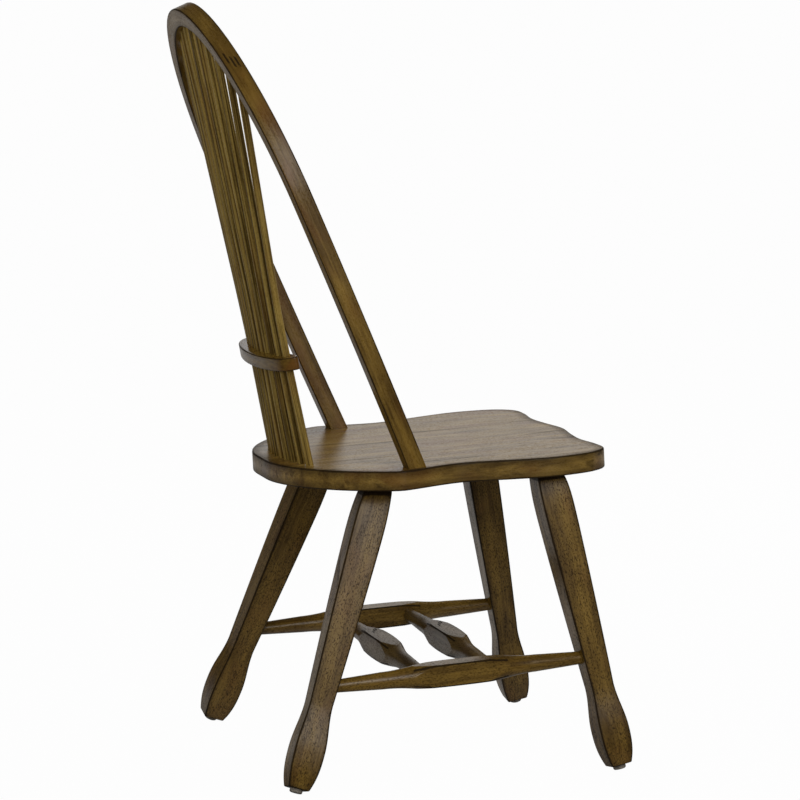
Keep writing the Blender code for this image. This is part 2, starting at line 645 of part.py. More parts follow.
def build_undercarriage(seat, root):
    """The legs, stretchers and glides."""
    rails = {}
    for side in SIDES:
        rear, front = LegAxis("rear", side), LegAxis("front", side)
        along = front.at_height(front.stretcher_height) - rear.at_height(rear.stretcher_height)
        tops = {a.name: shoulder_distance(a, a.frame(along)) * a.direction.z for a in (rear, front)}
        ends = side_stretcher_ends(rear, front, tops)
        name = f"stretcher_{side}"
        rails[side] = (build_stretcher(name, *ends, SIDE_STRETCHER_BULGE_LENGTH, root), rear, along)
        for axis, end, inward in ((rear, ends[0], -along), (front, ends[1], along)):
            leg = build_leg(axis, along, root)
            drill_leg_socket(seat, axis, along, root)
            drill_stretcher_socket(leg, f"leg_{axis.name}_socket", end, inward, root)
            build_glide(axis, leg, root)
    build_cross_stretchers(rails, root)


def build_cross_stretchers(rails, root):
    """The two cross stretchers, with their ends sunk in the side stretchers."""
    sink = STRETCHER_FLAT_WIDTH / 2 - STRETCHER_SOCKET_DEPTH
    for row, setback in (("rear", CROSS_REAR_SETBACK), ("front", CROSS_FRONT_SETBACK)):
        points = {}
        for side, (rail, rear, along) in rails.items():
            points[side] = rear.at_height(rear.stretcher_height) + along.normalized() * setback
        across = (points["right"] - points["left"]).normalized()
        start, end = points["left"] + across * sink, points["right"] - across * sink
        build_stretcher(f"stretcher_cross_{row}", start, end, CROSS_STRETCHER_BULGE_LENGTH, root)
        drill_stretcher_socket(rails["left"][0], f"left_rail_socket_{row}", start, -across, root)
        drill_stretcher_socket(rails["right"][0], f"right_rail_socket_{row}", end, across, root)


def centre_on_floor(root):
    """Moves the chair so that its origin is under the middle of its length."""
    bpy.context.view_layer.update()
    graph = bpy.context.evaluated_depsgraph_get()
    reach = []
    for piece in root.children:
        if not piece.hide_render:
            solid = piece.evaluated_get(graph)
            reach += [(solid.matrix_world @ Vector(corner.co)).y for corner in solid.to_mesh().vertices]
            solid.to_mesh_clear()
    root.location.y = -(min(reach) + max(reach)) / 2


def main():
    """Builds the whole chair."""
    clear_scene()
    root = bpy.data.objects.new("chair", None)
    bpy.context.scene.collection.objects.link(root)
    seat = build_seat(root)
    bow = build_bow(seat, root)
    band = build_band(root)
    for index in range(SPINDLE_COUNT):
        build_spindle(index, root)
        drill_spindle_holes(index, seat, band, bow, root)
    build_undercarriage(seat, root)
    centre_on_floor(root)


main()
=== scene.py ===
"""Looks of the sheaf back chair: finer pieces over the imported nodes, finishes, studio and camera.

Units are metres and +Z is up. The chair faces -Y, and +X is the sitter's left.
The floor is at Z = 0.
"""

import logging
import math
from abc import ABC, abstractmethod
from collections.abc import Callable, Iterator
from contextlib import contextmanager
from dataclasses import dataclass, field
from enum import Enum

import bmesh
import bpy
from mathutils import Matrix, Vector
from mathutils.kdtree import KDTree


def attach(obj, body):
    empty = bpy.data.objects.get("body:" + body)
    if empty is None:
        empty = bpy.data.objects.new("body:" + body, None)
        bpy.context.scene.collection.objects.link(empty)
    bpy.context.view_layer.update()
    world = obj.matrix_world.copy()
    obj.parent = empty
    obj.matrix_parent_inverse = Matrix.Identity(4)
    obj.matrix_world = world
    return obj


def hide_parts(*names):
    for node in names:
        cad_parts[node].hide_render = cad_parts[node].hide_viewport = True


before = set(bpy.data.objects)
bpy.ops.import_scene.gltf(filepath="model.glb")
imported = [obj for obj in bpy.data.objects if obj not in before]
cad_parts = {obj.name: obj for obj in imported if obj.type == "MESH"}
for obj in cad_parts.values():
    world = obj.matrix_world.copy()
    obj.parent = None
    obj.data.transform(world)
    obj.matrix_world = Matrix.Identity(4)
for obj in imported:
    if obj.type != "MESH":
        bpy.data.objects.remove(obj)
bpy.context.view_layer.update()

LOG = logging.getLogger("sheaf_back_chair")

MM = 0.001
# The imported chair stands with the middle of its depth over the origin
CHAIR = Matrix.Translation((0, -44.9464 * MM, 0))
SMOOTH_ANGLE = math.radians(40)
NEAR = 0.01 * MM
EASE_STEPS = 3
EDGE_STEP = 1 * MM
# The four corners of a square section, in order round it
QUARTERS = ((1, 1), (-1, 1), (-1, -1), (1, -1))
# A place far from every edge and mark
NOWHERE = Vector((1, 1, 1))

Pair = tuple[float, float]
Triple = tuple[float, float, float]
Colour = Triple
Object = bpy.types.Object
Socket = bpy.types.NodeSocket
# Gives the place and the grain of a column on a ring
Spot = Callable[[int, int], tuple[Vector, Vector]]


class Element(Enum):
    """What an edit step selects."""

    VERT = "VERT"
    EDGE = "EDGE"
    FACE = "FACE"


class Side(Enum):
    """The sitter's left and right, as signs of X."""

    LEFT = 1
    RIGHT = -1

    @property
    def label(self) -> str:
        """The side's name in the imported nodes."""
        return self.name.lower()


class Row(Enum):
    """The front and the rear of the undercarriage."""

    FRONT = "front"
    REAR = "rear"


# Shader nodes


@dataclass(frozen=True)
class Layer:
    """One noise of a finish.

    Attributes:
        waves: Waves per metre along each coordinate. In wood, the third runs along the grain.
        detail: How many finer layers are added.
        warp: How far the noise is distorted by itself.
        gain: How strong each finer layer is.
    """

    waves: Triple
    detail: float
    warp: float = 0.0
    gain: float = 0.6


class Signal:
    """A number that varies over a surface. It wraps a socket, and its operators add Math nodes."""

    def __init__(self, paint: "Paint", socket: Socket) -> None:
        """Keeps the socket.

        Args:
            paint: The node tree that the socket is in.
            socket: The output that carries the number.
        """
        self.paint = paint
        self.socket = socket

    def math(self, operation: str, *values: "Signal | float") -> "Signal":
        """Adds one Math node.

        Args:
            operation: The node's operation.
            values: The node's inputs, in order.

        Returns:
            The node's output.
        """
        node = self.paint.node("ShaderNodeMath", {"operation": operation}, dict(enumerate(values)))
        return Signal(self.paint, node.outputs[0])

    def __add__(self, other: "Signal | float") -> "Signal":
        """Self plus other."""
        return self.math("ADD", self, other)

    def __radd__(self, other: float) -> "Signal":
        """Other plus self."""
        return self.math("ADD", other, self)

    def __sub__(self, other: "Signal | float") -> "Signal":
        """Self minus other."""
        return self.math("SUBTRACT", self, other)

    def __rsub__(self, other: float) -> "Signal":
        """Other minus self."""
        return self.math("SUBTRACT", other, self)

    def __mul__(self, other: "Signal | float") -> "Signal":
        """Self times other."""
        return self.math("MULTIPLY", self, other)

    def __rmul__(self, other: float) -> "Signal":
        """Other times self."""
        return self.math("MULTIPLY", other, self)

    def __truediv__(self, other: "Signal | float") -> "Signal":
        """Self over other."""
        return self.math("DIVIDE", self, other)

    def __abs__(self) -> "Signal":
        """The size of self without its sign."""
        return self.math("ABSOLUTE", self)

    def floor(self) -> "Signal":
        """The whole number under self."""
        return self.math("FLOOR", self)

    def fraction(self) -> "Signal":
        """What is left of self over its whole number."""
        return self.math("FRACT", self)

    def larger(self, other: "Signal | float") -> "Signal":
        """The larger of self and other."""
        return self.math("MAXIMUM", self, other)

    def rise(self, low: float, high: float) -> "Signal":
        """A smooth step.

        Args:
            low: Where the step is still 0.
            high: Where the step has reached 1.

        Returns:
            The step, from 0 to 1.
        """
        sockets = {"Value": self, "From Min": low, "From Max": high}
        node = self.paint.node("ShaderNodeMapRange", {"interpolation_type": "SMOOTHSTEP"}, sockets)
        return Signal(self.paint, node.outputs["Result"])

    def fall(self, low: float, high: float) -> "Signal":
        """A smooth step down: 1 up to low and 0 from high."""
        return 1 - self.rise(low, high)


class Paint:
    """The node tree of one material or of the world."""

    def __init__(self, owner: bpy.types.Material | bpy.types.World) -> None:
        """Empties the owner's tree and adds its output.

        Args:
            owner: The material or world that is painted.
        """
        owner.use_nodes = True
        self.tree = owner.node_tree
        self.tree.nodes.clear()
        is_world = isinstance(owner, bpy.types.World)
        self.output = self.node("ShaderNodeOutputWorld" if is_world else "ShaderNodeOutputMaterial")

    def node(
        self,
        kind: str,
        settings: dict[str, object] | None = None,
        sockets: dict[str | int, object] | None = None,
    ) -> bpy.types.Node:
        """Adds a node.

        Args:
            kind: The node's type.
            settings: The node's own properties, which are set first.
            sockets: Values or links of its inputs, by name, identifier or place.

        Returns:
            The node.
        """
        made = self.tree.nodes.new(kind)
        for key, value in (settings or {}).items():
            setattr(made, key, value)
        for key, value in (sockets or {}).items():
            socket = self.input_of(made, key)
            source = value.socket if isinstance(value, Signal) else value
            if isinstance(source, Socket):
                self.tree.links.new(source, socket)
            else:
                socket.default_value = source
        return made

    @staticmethod
    def input_of(node: bpy.types.Node, key: str | int) -> Socket:
        """The input of a node that has this place, identifier or name."""
        if isinstance(key, int):
            return node.inputs[key]
        return next(s for s in node.inputs if key in (s.identifier, s.name) and s.enabled)

    def finish(self, shader: bpy.types.Node) -> None:
        """Links the finished shader to the output."""
        self.tree.links.new(shader.outputs[0], self.output.inputs["Surface"])

    def attribute(self, name: str) -> Socket:
        """A vector that the piece's mesh carries."""
        return self.node("ShaderNodeAttribute", {"attribute_name": name}).outputs["Vector"]

    def attribute_value(self, name: str) -> Signal:
        """A number that the piece's mesh carries."""
        node = self.node("ShaderNodeAttribute", {"attribute_name": name})
        return Signal(self, node.outputs["Fac"])

    def parts(self, vector: Socket) -> tuple[Signal, Signal, Signal]:
        """The X, Y and Z of a vector."""
        node = self.node("ShaderNodeSeparateXYZ", {}, {"Vector": vector})
        return tuple(Signal(self, output) for output in node.outputs)

    def vector(self, operation: str, *values: object) -> Socket:
        """The result of one Vector Math node."""
        node = self.node("ShaderNodeVectorMath", {"operation": operation}, dict(enumerate(values)))
        return node.outputs["Vector"]

    def noise(self, place: Socket, layer: Layer) -> Signal:
        """A noise over stretched coordinates.

        Args:
            place: The coordinates, in metres.
            layer: The noise's waves and detail.

        Returns:
            The noise, about NOISE_MEAN on the average.
        """
        at = self.vector("MULTIPLY", place, layer.waves)
        sockets = {"Vector": at, "Scale": 1.0, "Detail": layer.detail}
        sockets |= {"Roughness": layer.gain, "Distortion": layer.warp}
        return Signal(self, self.node("ShaderNodeTexNoise", {}, sockets).outputs["Fac"])

    def blend(self, share: Signal | float, first: object, second: object) -> Socket:
        """A colour between two.

        Args:
            share: How much of the second colour is taken.
            first: A colour or a link to one.
            second: A colour or a link to one.

        Returns:
            The mixed colour.
        """
        colours = [(*c, 1.0) if isinstance(c, tuple) else c for c in (first, second)]
        sockets = {"Factor_Float": share, "A_Color": colours[0], "B_Color": colours[1]}
        node = self.node("ShaderNodeMix", {"data_type": "RGBA"}, sockets)
        return next(s for s in node.outputs if s.identifier == "Result_Color")

    def relief(self, height: Signal, depth: float, strength: float) -> Socket:
        """A normal from a height.

        Args:
            height: The height, from 0 to 1.
            depth: What a height of 1 stands for, in metres.
            strength: How much of the relief is shown.

        Returns:
            The normal.
        """
        sockets = {"Height": height, "Distance": depth, "Strength": strength}
        return self.node("ShaderNodeBump", {}, sockets).outputs["Normal"]


# Finishes

NOISE_MEAN = 0.5
FIBRE = Layer((330, 330, 14), 4)
LONG_FIBRE = Layer((330, 330, 4), 4)
FIGURE = Layer((44, 44, 3.4), 3, 0.8)
MOTTLE = Layer((26, 26, 12), 3)
CLOUDS = Layer((21, 21, 9), 2)
PATCHES = Layer((40, 40, 16), 2)
PORES = Layer((640, 640, 290), 2)
VEINS = Layer((62, 62, 5), 2, 0.3)
WANDER = Layer((70, 70, 34), 2)
RAGGED = Layer((400, 400, 120), 1)


class Finish(ABC):
    """What a piece is made of. Its material is made the first time it is asked for."""

    name: str

    @abstractmethod
    def paint(self, tree: Paint) -> None:
        """Adds the finish's nodes to its material's empty tree."""

    def material(self) -> bpy.types.Material:
        """The finish's material."""
        made = bpy.data.materials.get(self.name)
        if made is None:
            made = bpy.data.materials.new(self.name)
            self.paint(Paint(made))
        return made


@dataclass(frozen=True)
class StruckMarks:
    """A short row of dark dashes struck into the wood, over the attribute "mark" of a piece.

    Attributes:
        spacing: From one dash to the next.
        slant: How far the row climbs along the dashes for each step across them.
        depth: How far from the struck face the dashes still show.
        stagger: How far the dashes are out of line, as a share of their length.
        scatter: A number that is no whole one, which sets each dash off from its neighbours.
        thin_span: Where a dash's side fades out, as shares of its width.
        end_span: Where a dash's end fades out, as shares of its length.
        face_span: Where the dashes fade out under the face, as shares of the depth.
        ragged_span: The part of the noise that leaves gaps in the dashes.
    """

    count: int
    spacing: float
    length: float
    width: float
    slant: float
    depth: float = 4 * MM
    stagger: float = 0.3
    scatter: float = 2.7
    thin_span: Pair = (0.3, 0.6)
    end_span: Pair = (0.4, 0.5)
    face_span: Pair = (0.8, 1)
    ragged_span: Pair = (0.18, 0.36)
    ink_share: float = 0.9

    def cover(self, tree: Paint, grain: Socket) -> Signal:
        """Where the dashes lie.

        Args:
            tree: The material's tree.
            grain: The grain's coordinates, which break the dashes up.

        Returns:
            The dashes' cover, from 0 to 1.
        """
        across, along, out = tree.parts(tree.attribute("mark"))
        step = across / self.spacing + self.count / 2
        offset = abs(step.fraction() - 0.5) * self.spacing
        stagger = self.stagger * self.length
        shift = (step.floor() * self.scatter).fraction() * stagger
        ends = abs(along + across * self.slant + shift - stagger / 2)
        half = self.count * self.spacing / 2
        inside = abs(across).fall(half - NEAR, half)
        face = abs(out).fall(*(self.depth * share for share in self.face_span))
        thin = offset.fall(*(self.width * share for share in self.thin_span))
        short = ends.fall(*(self.length * share for share in self.end_span))
        ragged = tree.noise(grain, RAGGED).rise(*self.ragged_span)
        return thin * short * inside * face * ragged * self.ink_share


@dataclass(frozen=True)
class AntiqueWood(Finish):
    """Open-pored wood, stained olive brown, with dark glaze along its edges and a coat of wax."""

    name: str
    pale: Colour = (0.210, 0.123, 0.020)
    deep: Colour = (0.066, 0.034, 0.005)
    rust: Colour = (0.132, 0.054, 0.010)
    pore: Colour = (0.020, 0.011, 0.004)
    glaze: Colour = (0.014, 0.009, 0.005)
    fibre: Layer = FIBRE
    streak_share: float = 0.3
    figure_share: float = 0.57
    tone_span: Pair = (0.36, 0.64)
    rust_share: float = 0.55
    cloud_span: Pair = (0.48, 0.68)
    pore_share: float = 0.6
    pore_span: Pair = (0.47, 0.66)
    patch_span: Pair = (0.2, 0.55)
    vein_share: float = 0.0
    vein_span: Pair = (0.6, 0.7)
    line_core: float = 0.6 * MM
    line_width: float = 2.3 * MM
    line_share: float = 0.92
    halo_width: float = 12 * MM
    halo_share: float = 0.25
    wax_share: float = 0.9
    wax_spread: float = 1.0
    wax_mottle: float = 0.4
    wax_fibre: float = 0.8
    wax_roughness: float = 0.28
    vein_dulling: float = 0.7
    pore_dulling: float = 0.6
    glaze_dulling: float = 0.8
    roughness: float = 0.55
    mottle_roughness: float = 0.2
    pore_roughness: float = 0.15
    relief_depth: float = 0.3 * MM
    relief_strength: float = 0.5
    plank_width: float = 0.0
    plank_jump: Pair = (0.37, 1.31)
    marks: StruckMarks | None = None

    def paint(self, tree: Paint) -> None:
        """Adds the finish's nodes.

        Args:
            tree: The material's empty tree.
        """
        grain = self.planked(tree, tree.attribute("grain"))
        fibre, figure, mottle = (tree.noise(grain, layer) for layer in (self.fibre, FIGURE, MOTTLE))
        clouds = tree.noise(grain, CLOUDS).rise(*self.cloud_span)
        patches = tree.noise(grain, PATCHES).rise(*self.patch_span)
        pores = tree.noise(grain, PORES).rise(*self.pore_span) * patches
        broad = self.figure_share * figure + (1 - self.figure_share) * mottle
        tone = (self.streak_share * fibre + (1 - self.streak_share) * broad).rise(*self.tone_span)
        colour = tree.blend(tone, self.deep, self.pale)
        colour = tree.blend(clouds * self.rust_share, colour, self.rust)
        colour = tree.blend(pores * self.pore_share, colour, self.pore)
        uneven = self.wax_mottle * (mottle - NOISE_MEAN) + self.wax_fibre * (fibre - NOISE_MEAN)
        waxed = self.wax_share + self.wax_spread * uneven
        if self.vein_share:
            veins = tree.noise(grain, VEINS).rise(*self.vein_span) * self.vein_share
            colour = tree.blend(veins, colour, self.pore)
            waxed = waxed * (1 - self.vein_dulling * veins)
        glazed = self.glazed(tree, grain)
        colour = tree.blend(glazed, colour, self.glaze)
        waxed = waxed * (1 - self.pore_dulling * pores) * (1 - self.glaze_dulling * glazed)
        roughness = self.roughness + self.mottle_roughness * (mottle - NOISE_MEAN)
        roughness = roughness + self.pore_roughness * pores
        height = 0.5 * fibre + 0.5 * (1 - pores)
        normal = tree.relief(height, self.relief_depth, self.relief_strength)
        sockets = {"Base Color": colour, "Roughness": roughness, "Normal": normal}
        sockets |= {"Coat Weight": waxed, "Coat Roughness": self.wax_roughness}
        sockets["Specular IOR Level"] = 0.0
        tree.finish(tree.node("ShaderNodeBsdfPrincipled", {}, sockets))

    def planked(self, tree: Paint, grain: Socket) -> Socket:
        """Moves the grain at each glued joint between planks, where the finish has planks.

        Args:
            tree: The material's tree.
            grain: The grain's coordinates.

        Returns:
            The coordinates with a jump at each joint.
        """
        if not self.plank_width:
            return grain
        across = tree.parts(grain)[0]
        plank = (across / self.plank_width).floor()
        deep, along = (plank * jump for jump in self.plank_jump)
        jump = tree.node("ShaderNodeCombineXYZ", {}, {"Y": deep, "Z": along}).outputs[0]
        return tree.vector("ADD", grain, jump)

    def glazed(self, tree: Paint, grain: Socket) -> Signal:
        """Where the dark glaze lies: along each edge, in a halo beside it, in struck marks and in
        painted shade lines.

        Args:
            tree: The material's tree.
            grain: The grain's coordinates.

        Returns:
            The glaze's cover, from 0 to 1.
        """
        wander = tree.noise(grain, WANDER) + (1 - NOISE_MEAN)
        reach = tree.attribute_value("edge") * wander
        line = reach.fall(self.line_core, self.line_width) * self.line_share
        halo = reach.fall(0, self.halo_width) * self.halo_share
        cover = line.larger(halo)
        return cover.larger(self.marks.cover(tree, grain)) if self.marks else cover


@dataclass(frozen=True)
class MouldedNylon(Finish):
    """Grey-tan moulded plastic of the foot pads, scuffed where it slides."""

    name: str = "glide_nylon_look"
    clean: Colour = (0.235, 0.205, 0.165)
    scuffed: Colour = (0.105, 0.090, 0.070)
    scuffs: Layer = Layer((160, 160, 160), 3)
    scuff_span: Pair = (0.35, 0.7)
    skin: Layer = Layer((1400, 1400, 1400), 2)
    skin_depth: float = 0.1 * MM
    skin_strength: float = 0.3
    roughness: float = 0.42
    scuff_roughness: float = 0.25

    def paint(self, tree: Paint) -> None:
        """Adds the finish's nodes.

        Args:
            tree: The material's empty tree.
        """
        place = tree.node("ShaderNodeTexCoord").outputs["Object"]
        scuffs = tree.noise(place, self.scuffs)
        colour = tree.blend(scuffs.rise(*self.scuff_span), self.clean, self.scuffed)
        normal = tree.relief(tree.noise(place, self.skin), self.skin_depth, self.skin_strength)
        roughness = self.roughness + self.scuff_roughness * scuffs
        sockets = {"Base Color": colour, "Roughness": roughness, "Normal": normal}
        tree.finish(tree.node("ShaderNodeBsdfPrincipled", {}, sockets))


@dataclass(frozen=True)
class NailSteel(Finish):
    """Drawn steel of the pads' nails, which the feet hide."""

    name: str = "nail_steel_look"
    bright: Colour = (0.50, 0.49, 0.47)
    dull: Colour = (0.28, 0.27, 0.26)
    drawing: Layer = Layer((900, 900, 60), 2)
    drawn_span: Pair = (0.3, 0.7)
    roughness: float = 0.25
    drawn_roughness: float = 0.25

    def paint(self, tree: Paint) -> None:
        """Adds the finish's nodes.

        Args:
            tree: The material's empty tree.
        """
        drawn = tree.noise(tree.node("ShaderNodeTexCoord").outputs["Object"], self.drawing)
        colour = tree.blend(drawn.rise(*self.drawn_span), self.bright, self.dull)
        roughness = self.roughness + self.drawn_roughness * drawn
        sockets = {"Base Color": colour, "Roughness": roughness, "Metallic": 1.0}
        tree.finish(tree.node("ShaderNodeBsdfPrincipled", {}, sockets))


SEAT_WOOD = AntiqueWood(
    "seat_wood_look",
    pale=(0.285, 0.174, 0.038),
    deep=(0.102, 0.057, 0.011),
    tone_span=(0.37, 0.63),
    pore_share=0.14,
    vein_share=0.5,
    line_core=1.7 * MM,
    line_width=3.5 * MM,
    halo_width=19 * MM,
    halo_share=0.62,
    wax_spread=0.45,
    plank_width=92 * MM,
)
LEG_WOOD = AntiqueWood(
    "leg_wood_look",
    rust_share=0.32,
    pore_share=0.85,
    line_core=1.1 * MM,
    line_width=3.4 * MM,
    wax_share=0.78,
    marks=StruckMarks(5, 5.5 * MM, 18 * MM, 3 * MM, slant=1.4),
)
RAIL_WOOD = AntiqueWood(
    "rail_wood_look",
    rust_share=0.1,
    pore_share=0.66,
    line_core=0.8 * MM,
    line_width=2.6 * MM,
    halo_share=0.1,
)
# Frame wood made darker and greyer for the cross stretchers under the seat: painted shade. Their
# struck marks are real
SHADED_CROSS_WOOD = AntiqueWood(
    "cross_wood_shaded_look",
    pale=(0.128, 0.078, 0.020),
    deep=(0.050, 0.029, 0.006),
    rust=(0.085, 0.040, 0.011),
    pore_share=0.35,
    halo_share=0.1,
    wax_share=0.86,
    wax_spread=0.5,
    wax_roughness=0.34,
    marks=StruckMarks(3, 4.4 * MM, 15 * MM, 4 * MM, slant=-2.4),
)
BOW_WOOD = AntiqueWood(
    "bow_wood_look",
    pore_share=0.25,
    line_core=0.8 * MM,
    line_width=2.8 * MM,
    wax_share=0.72,
    marks=StruckMarks(3, 5.5 * MM, 22 * MM, 3 * MM, slant=0.9),
)
BAND_WOOD = AntiqueWood(
    "band_wood_look",
    rust_share=0.8,
    pore_share=0.06,
    wax_spread=0.3,
    wax_roughness=0.17,
)
SPINDLE_WOOD = AntiqueWood(
    "spindle_wood_look",
    pale=(0.330, 0.222, 0.055),
    deep=(0.075, 0.046, 0.009),
    rust_share=0.25,
    fibre=LONG_FIBRE,
    streak_share=0.85,
    tone_span=(0.40, 0.58),
    pore_share=0.25,
    halo_share=0.0,
    wax_share=0.35,
)


# Modelling


class Bench:
    """Modelling steps that the pieces share."""

    @staticmethod
    def select_only(piece: Object) -> None:
        """Selects one piece and nothing else."""
        bpy.ops.object.select_all(action="DESELECT")
        piece.select_set(True)
        bpy.context.view_layer.objects.active = piece

    @staticmethod
    def added(name: str) -> Object:
        """Names the primitive that was just added."""
        piece = bpy.context.active_object
        piece.name = name
        piece.data.name = name
        return piece

    @staticmethod
    @contextmanager
    def editing(piece: Object) -> Iterator[None]:
        """Opens one piece in edit mode.

        Args:
            piece: The piece that is edited.
        """
        Bench.select_only(piece)
        bpy.ops.object.mode_set(mode="EDIT")
        yield
        bpy.ops.object.mode_set(mode="OBJECT")

    @staticmethod
    def pick(piece: Object, element: Element, test: Callable[..., bool]) -> None:
        """Selects vertices, edges or faces of the edited piece.

        Args:
            piece: The edited piece.
            element: What is selected.
            test: Says of each element whether it is picked.
        """
        bpy.ops.mesh.select_mode(type=element.value)
        bpy.ops.mesh.select_all(action="DESELECT")
        shape = bmesh.from_edit_mesh(piece.data)
        items = {Element.VERT: shape.verts, Element.EDGE: shape.edges, Element.FACE: shape.faces}
        for item in items[element]:
            if test(item):
                item.select_set(True)
        shape.select_flush_mode()
        bmesh.update_edit_mesh(piece.data)

    @staticmethod
    def slice_at(places: list[float], normal: Triple) -> None:
        """Cuts loops round the edited piece.

        Args:
            places: How far along the normal each loop is.
            normal: The way that the cutting planes face.
        """
        for place in places:
            bpy.ops.mesh.select_all(action="SELECT")
            bpy.ops.mesh.bisect(plane_co=Vector(normal) * place, plane_no=normal)

    @staticmethod
    def close_up() -> None:
        """Merges doubles of the edited piece and turns its faces outwards."""
        bpy.ops.mesh.select_all(action="SELECT")
        bpy.ops.mesh.remove_doubles(threshold=NEAR)
        bpy.ops.mesh.normals_make_consistent(inside=False)

    @staticmethod
    def rod_blank(name: str, columns: int, rings: int) -> Object:
        """A round blank, one metre long, cut into rings.

        Args:
            name: The piece's name.
            columns: How many sides the blank has, in fours.
            rings: How many steps it has along its length.

        Returns:
            The blank, from Z = 0 to Z = 1.
        """
        bpy.ops.object.select_all(action="DESELECT")
        middle = (0, 0, 0.5)
        bpy.ops.mesh.primitive_cylinder_add(vertices=columns, radius=1, depth=1, location=middle)
        piece = Bench.added(name)
        bpy.ops.object.transform_apply(location=True, rotation=True, scale=True)
        with Bench.editing(piece):
            Bench.pick(piece, Element.EDGE, lambda e: abs(e.verts[0].co.z - e.verts[1].co.z) > 0.5)
            bpy.ops.mesh.subdivide(number_cuts=rings - 1)
        return piece

    @staticmethod
    def copy(piece: Object, name: str) -> Object:
        """A copy of a piece with a mesh of its own."""
        twin = piece.copy()
        twin.data = piece.data.copy()
        twin.name = name
        twin.data.name = name
        bpy.context.scene.collection.objects.link(twin)
        return twin

    @staticmethod
    def lay_rings(piece: Object, columns: int, rings: int, spot: Spot) -> list[Vector]:
        """Moves each ring of a blank to its place.

        Args:
            piece: The blank.
            columns: How many sides it has.
            rings: How many steps it has.
            spot: Gives the place and the grain of a column on a ring.

        Returns:
            The grain of each vertex.
        """
        grains = []
        for vert in piece.data.vertices:
            ring = round(vert.co.z * rings)
            column = round(math.atan2(vert.co.y, vert.co.x) / math.tau * columns) % columns
            vert.co, grain = spot(column, ring)
            grains.append(grain)
        return grains

    @staticmethod
    def plate(name: str, outline: list[Vector], top: float, bottom: float) -> Object:
        """A plate with an outline.

        Args:
            name: The piece's name.
            outline: The outline's points, in the XY plane.
            top: The height of its upper face.
            bottom: The height of its lower face.

        Returns:
            The plate, with sharp rims.
        """
        bpy.ops.object.select_all(action="DESELECT")
        bpy.ops.mesh.primitive_circle_add(vertices=len(outline), radius=1, fill_type="NGON")
        piece = Bench.added(name)
        for vert, point in zip(piece.data.vertices, outline):
            vert.co = (point.x, point.y, top)
        with Bench.editing(piece):
            bpy.ops.mesh.select_all(action="SELECT")
            bpy.ops.mesh.extrude_region_move(TRANSFORM_OT_translate={"value": (0, 0, bottom - top)})
            Bench.close_up()
        return piece

    @staticmethod
    def ease_picked(ease: float) -> None:
        """Rounds the picked edges of the edited piece."""
        bpy.ops.mesh.bevel(offset=ease, segments=EASE_STEPS, profile=0.5, affect="EDGES")

    @staticmethod
    def ease_rim(piece: Object, height: float, ease: float) -> None:
        """Rounds a rim of the edited plate.

        Args:
            piece: The edited plate.
            height: The height of the rim.
            ease: The rounding's radius.
        """
        Bench.pick(piece, Element.EDGE, lambda e: all(abs(v.co.z - height) < NEAR for v in e.verts))
        Bench.ease_picked(ease)

    @staticmethod
    def inset_face(piece: Object, height: float, steps: tuple[float, ...]) -> None:
        """Insets loops in a flat face of the edited plate.

        Args:
            piece: The edited plate.
            height: The height of the face.
            steps: How far each loop is from the last.
        """
        Bench.pick(piece, Element.FACE, lambda f: all(abs(v.co.z - height) < NEAR for v in f.verts))
        for step in steps:
            bpy.ops.mesh.inset(thickness=step)

    @staticmethod
    def write_look(
        piece: Object, grains: list[Vector], edges: list[Vector], mark: Matrix | None = None
    ) -> None:
        """Gives a piece the attributes that its finish reads.

        Args:
            piece: The piece, still in the frame that the other arguments are in.
            grains: The grain's coordinates at each vertex.
            edges: Points close together along the piece's hard edges, and along any painted shade
                lines.
            mark: The frame of a row of struck marks, if the piece has one.
        """
        tree = KDTree(len(edges))
        for index, point in enumerate(edges):
            tree.insert(point, index)
        tree.balance()
        verts = piece.data.vertices
        edge = piece.data.attributes.new("edge", "FLOAT", "POINT")
        edge.data.foreach_set("value", [tree.find(v.co)[2] for v in verts])
        grain = piece.data.attributes.new("grain", "FLOAT_VECTOR", "POINT")
        grain.data.foreach_set("vector", [n for g in grains for n in g])
        places = [mark.inverted() @ v.co if mark else NOWHERE for v in verts]
        struck = piece.data.attributes.new("mark", "FLOAT_VECTOR", "POINT")
        struck.data.foreach_set("vector", [n for p in places for n in p])

    @staticmethod
    def hand_over(
        piece: Object,
        place: Matrix,
        finish: Finish,
        slot: str,
        node: str,
        angle: float = SMOOTH_ANGLE,
    ) -> None:
        """Places a finished piece in the chair and lets it stand for its CAD node.

        Args:
            piece: The piece, in its own frame.
            place: The frame that it goes to, before the chair is centred.
            finish: What it is made of.
            slot: The record's slot of that finish. It is not used.
            node: The CAD node that it stands for.
            angle: The sharpest fold that is shaded smooth.
        """
        Bench.select_only(piece)
        piece.matrix_world = CHAIR @ place
        bpy.ops.object.transform_apply(location=True, rotation=True, scale=True)
        bpy.ops.object.shade_smooth_by_angle(angle=angle)
        piece.data.materials.clear()
        piece.data.materials.append(finish.material())
        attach(piece, "root")
        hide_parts(node)
        LOG.info("%s: %d faces, stands for %s", piece.name, len(piece.data.polygons), node)


def frame_along(origin: Vector, direction: Vector, toward: Vector) -> Matrix:
    """A frame on a line.

    Args:
        origin: The frame's origin.
        direction: The way that its Z runs.
        toward: The way that its Y leans.

    Returns:
        The frame.
    """
    z = direction.normalized()
    x = toward.cross(z).normalized()
    made = Matrix((x, z.cross(x), z)).transposed().to_4x4()
    made.translation = origin
    return made


def between(points: list[Vector]) -> list[Vector]:
    """Points along a line, no further apart than EDGE_STEP.

    Args:
        points: The line's corners.

    Returns:
        The points.
    """
    found = []
    for start, end in zip(points, points[1:]):
        count = max(1, math.ceil((end - start).length / EDGE_STEP))
        found += [start.lerp(end, i / count) for i in range(count)]
    return [*found, points[-1]]


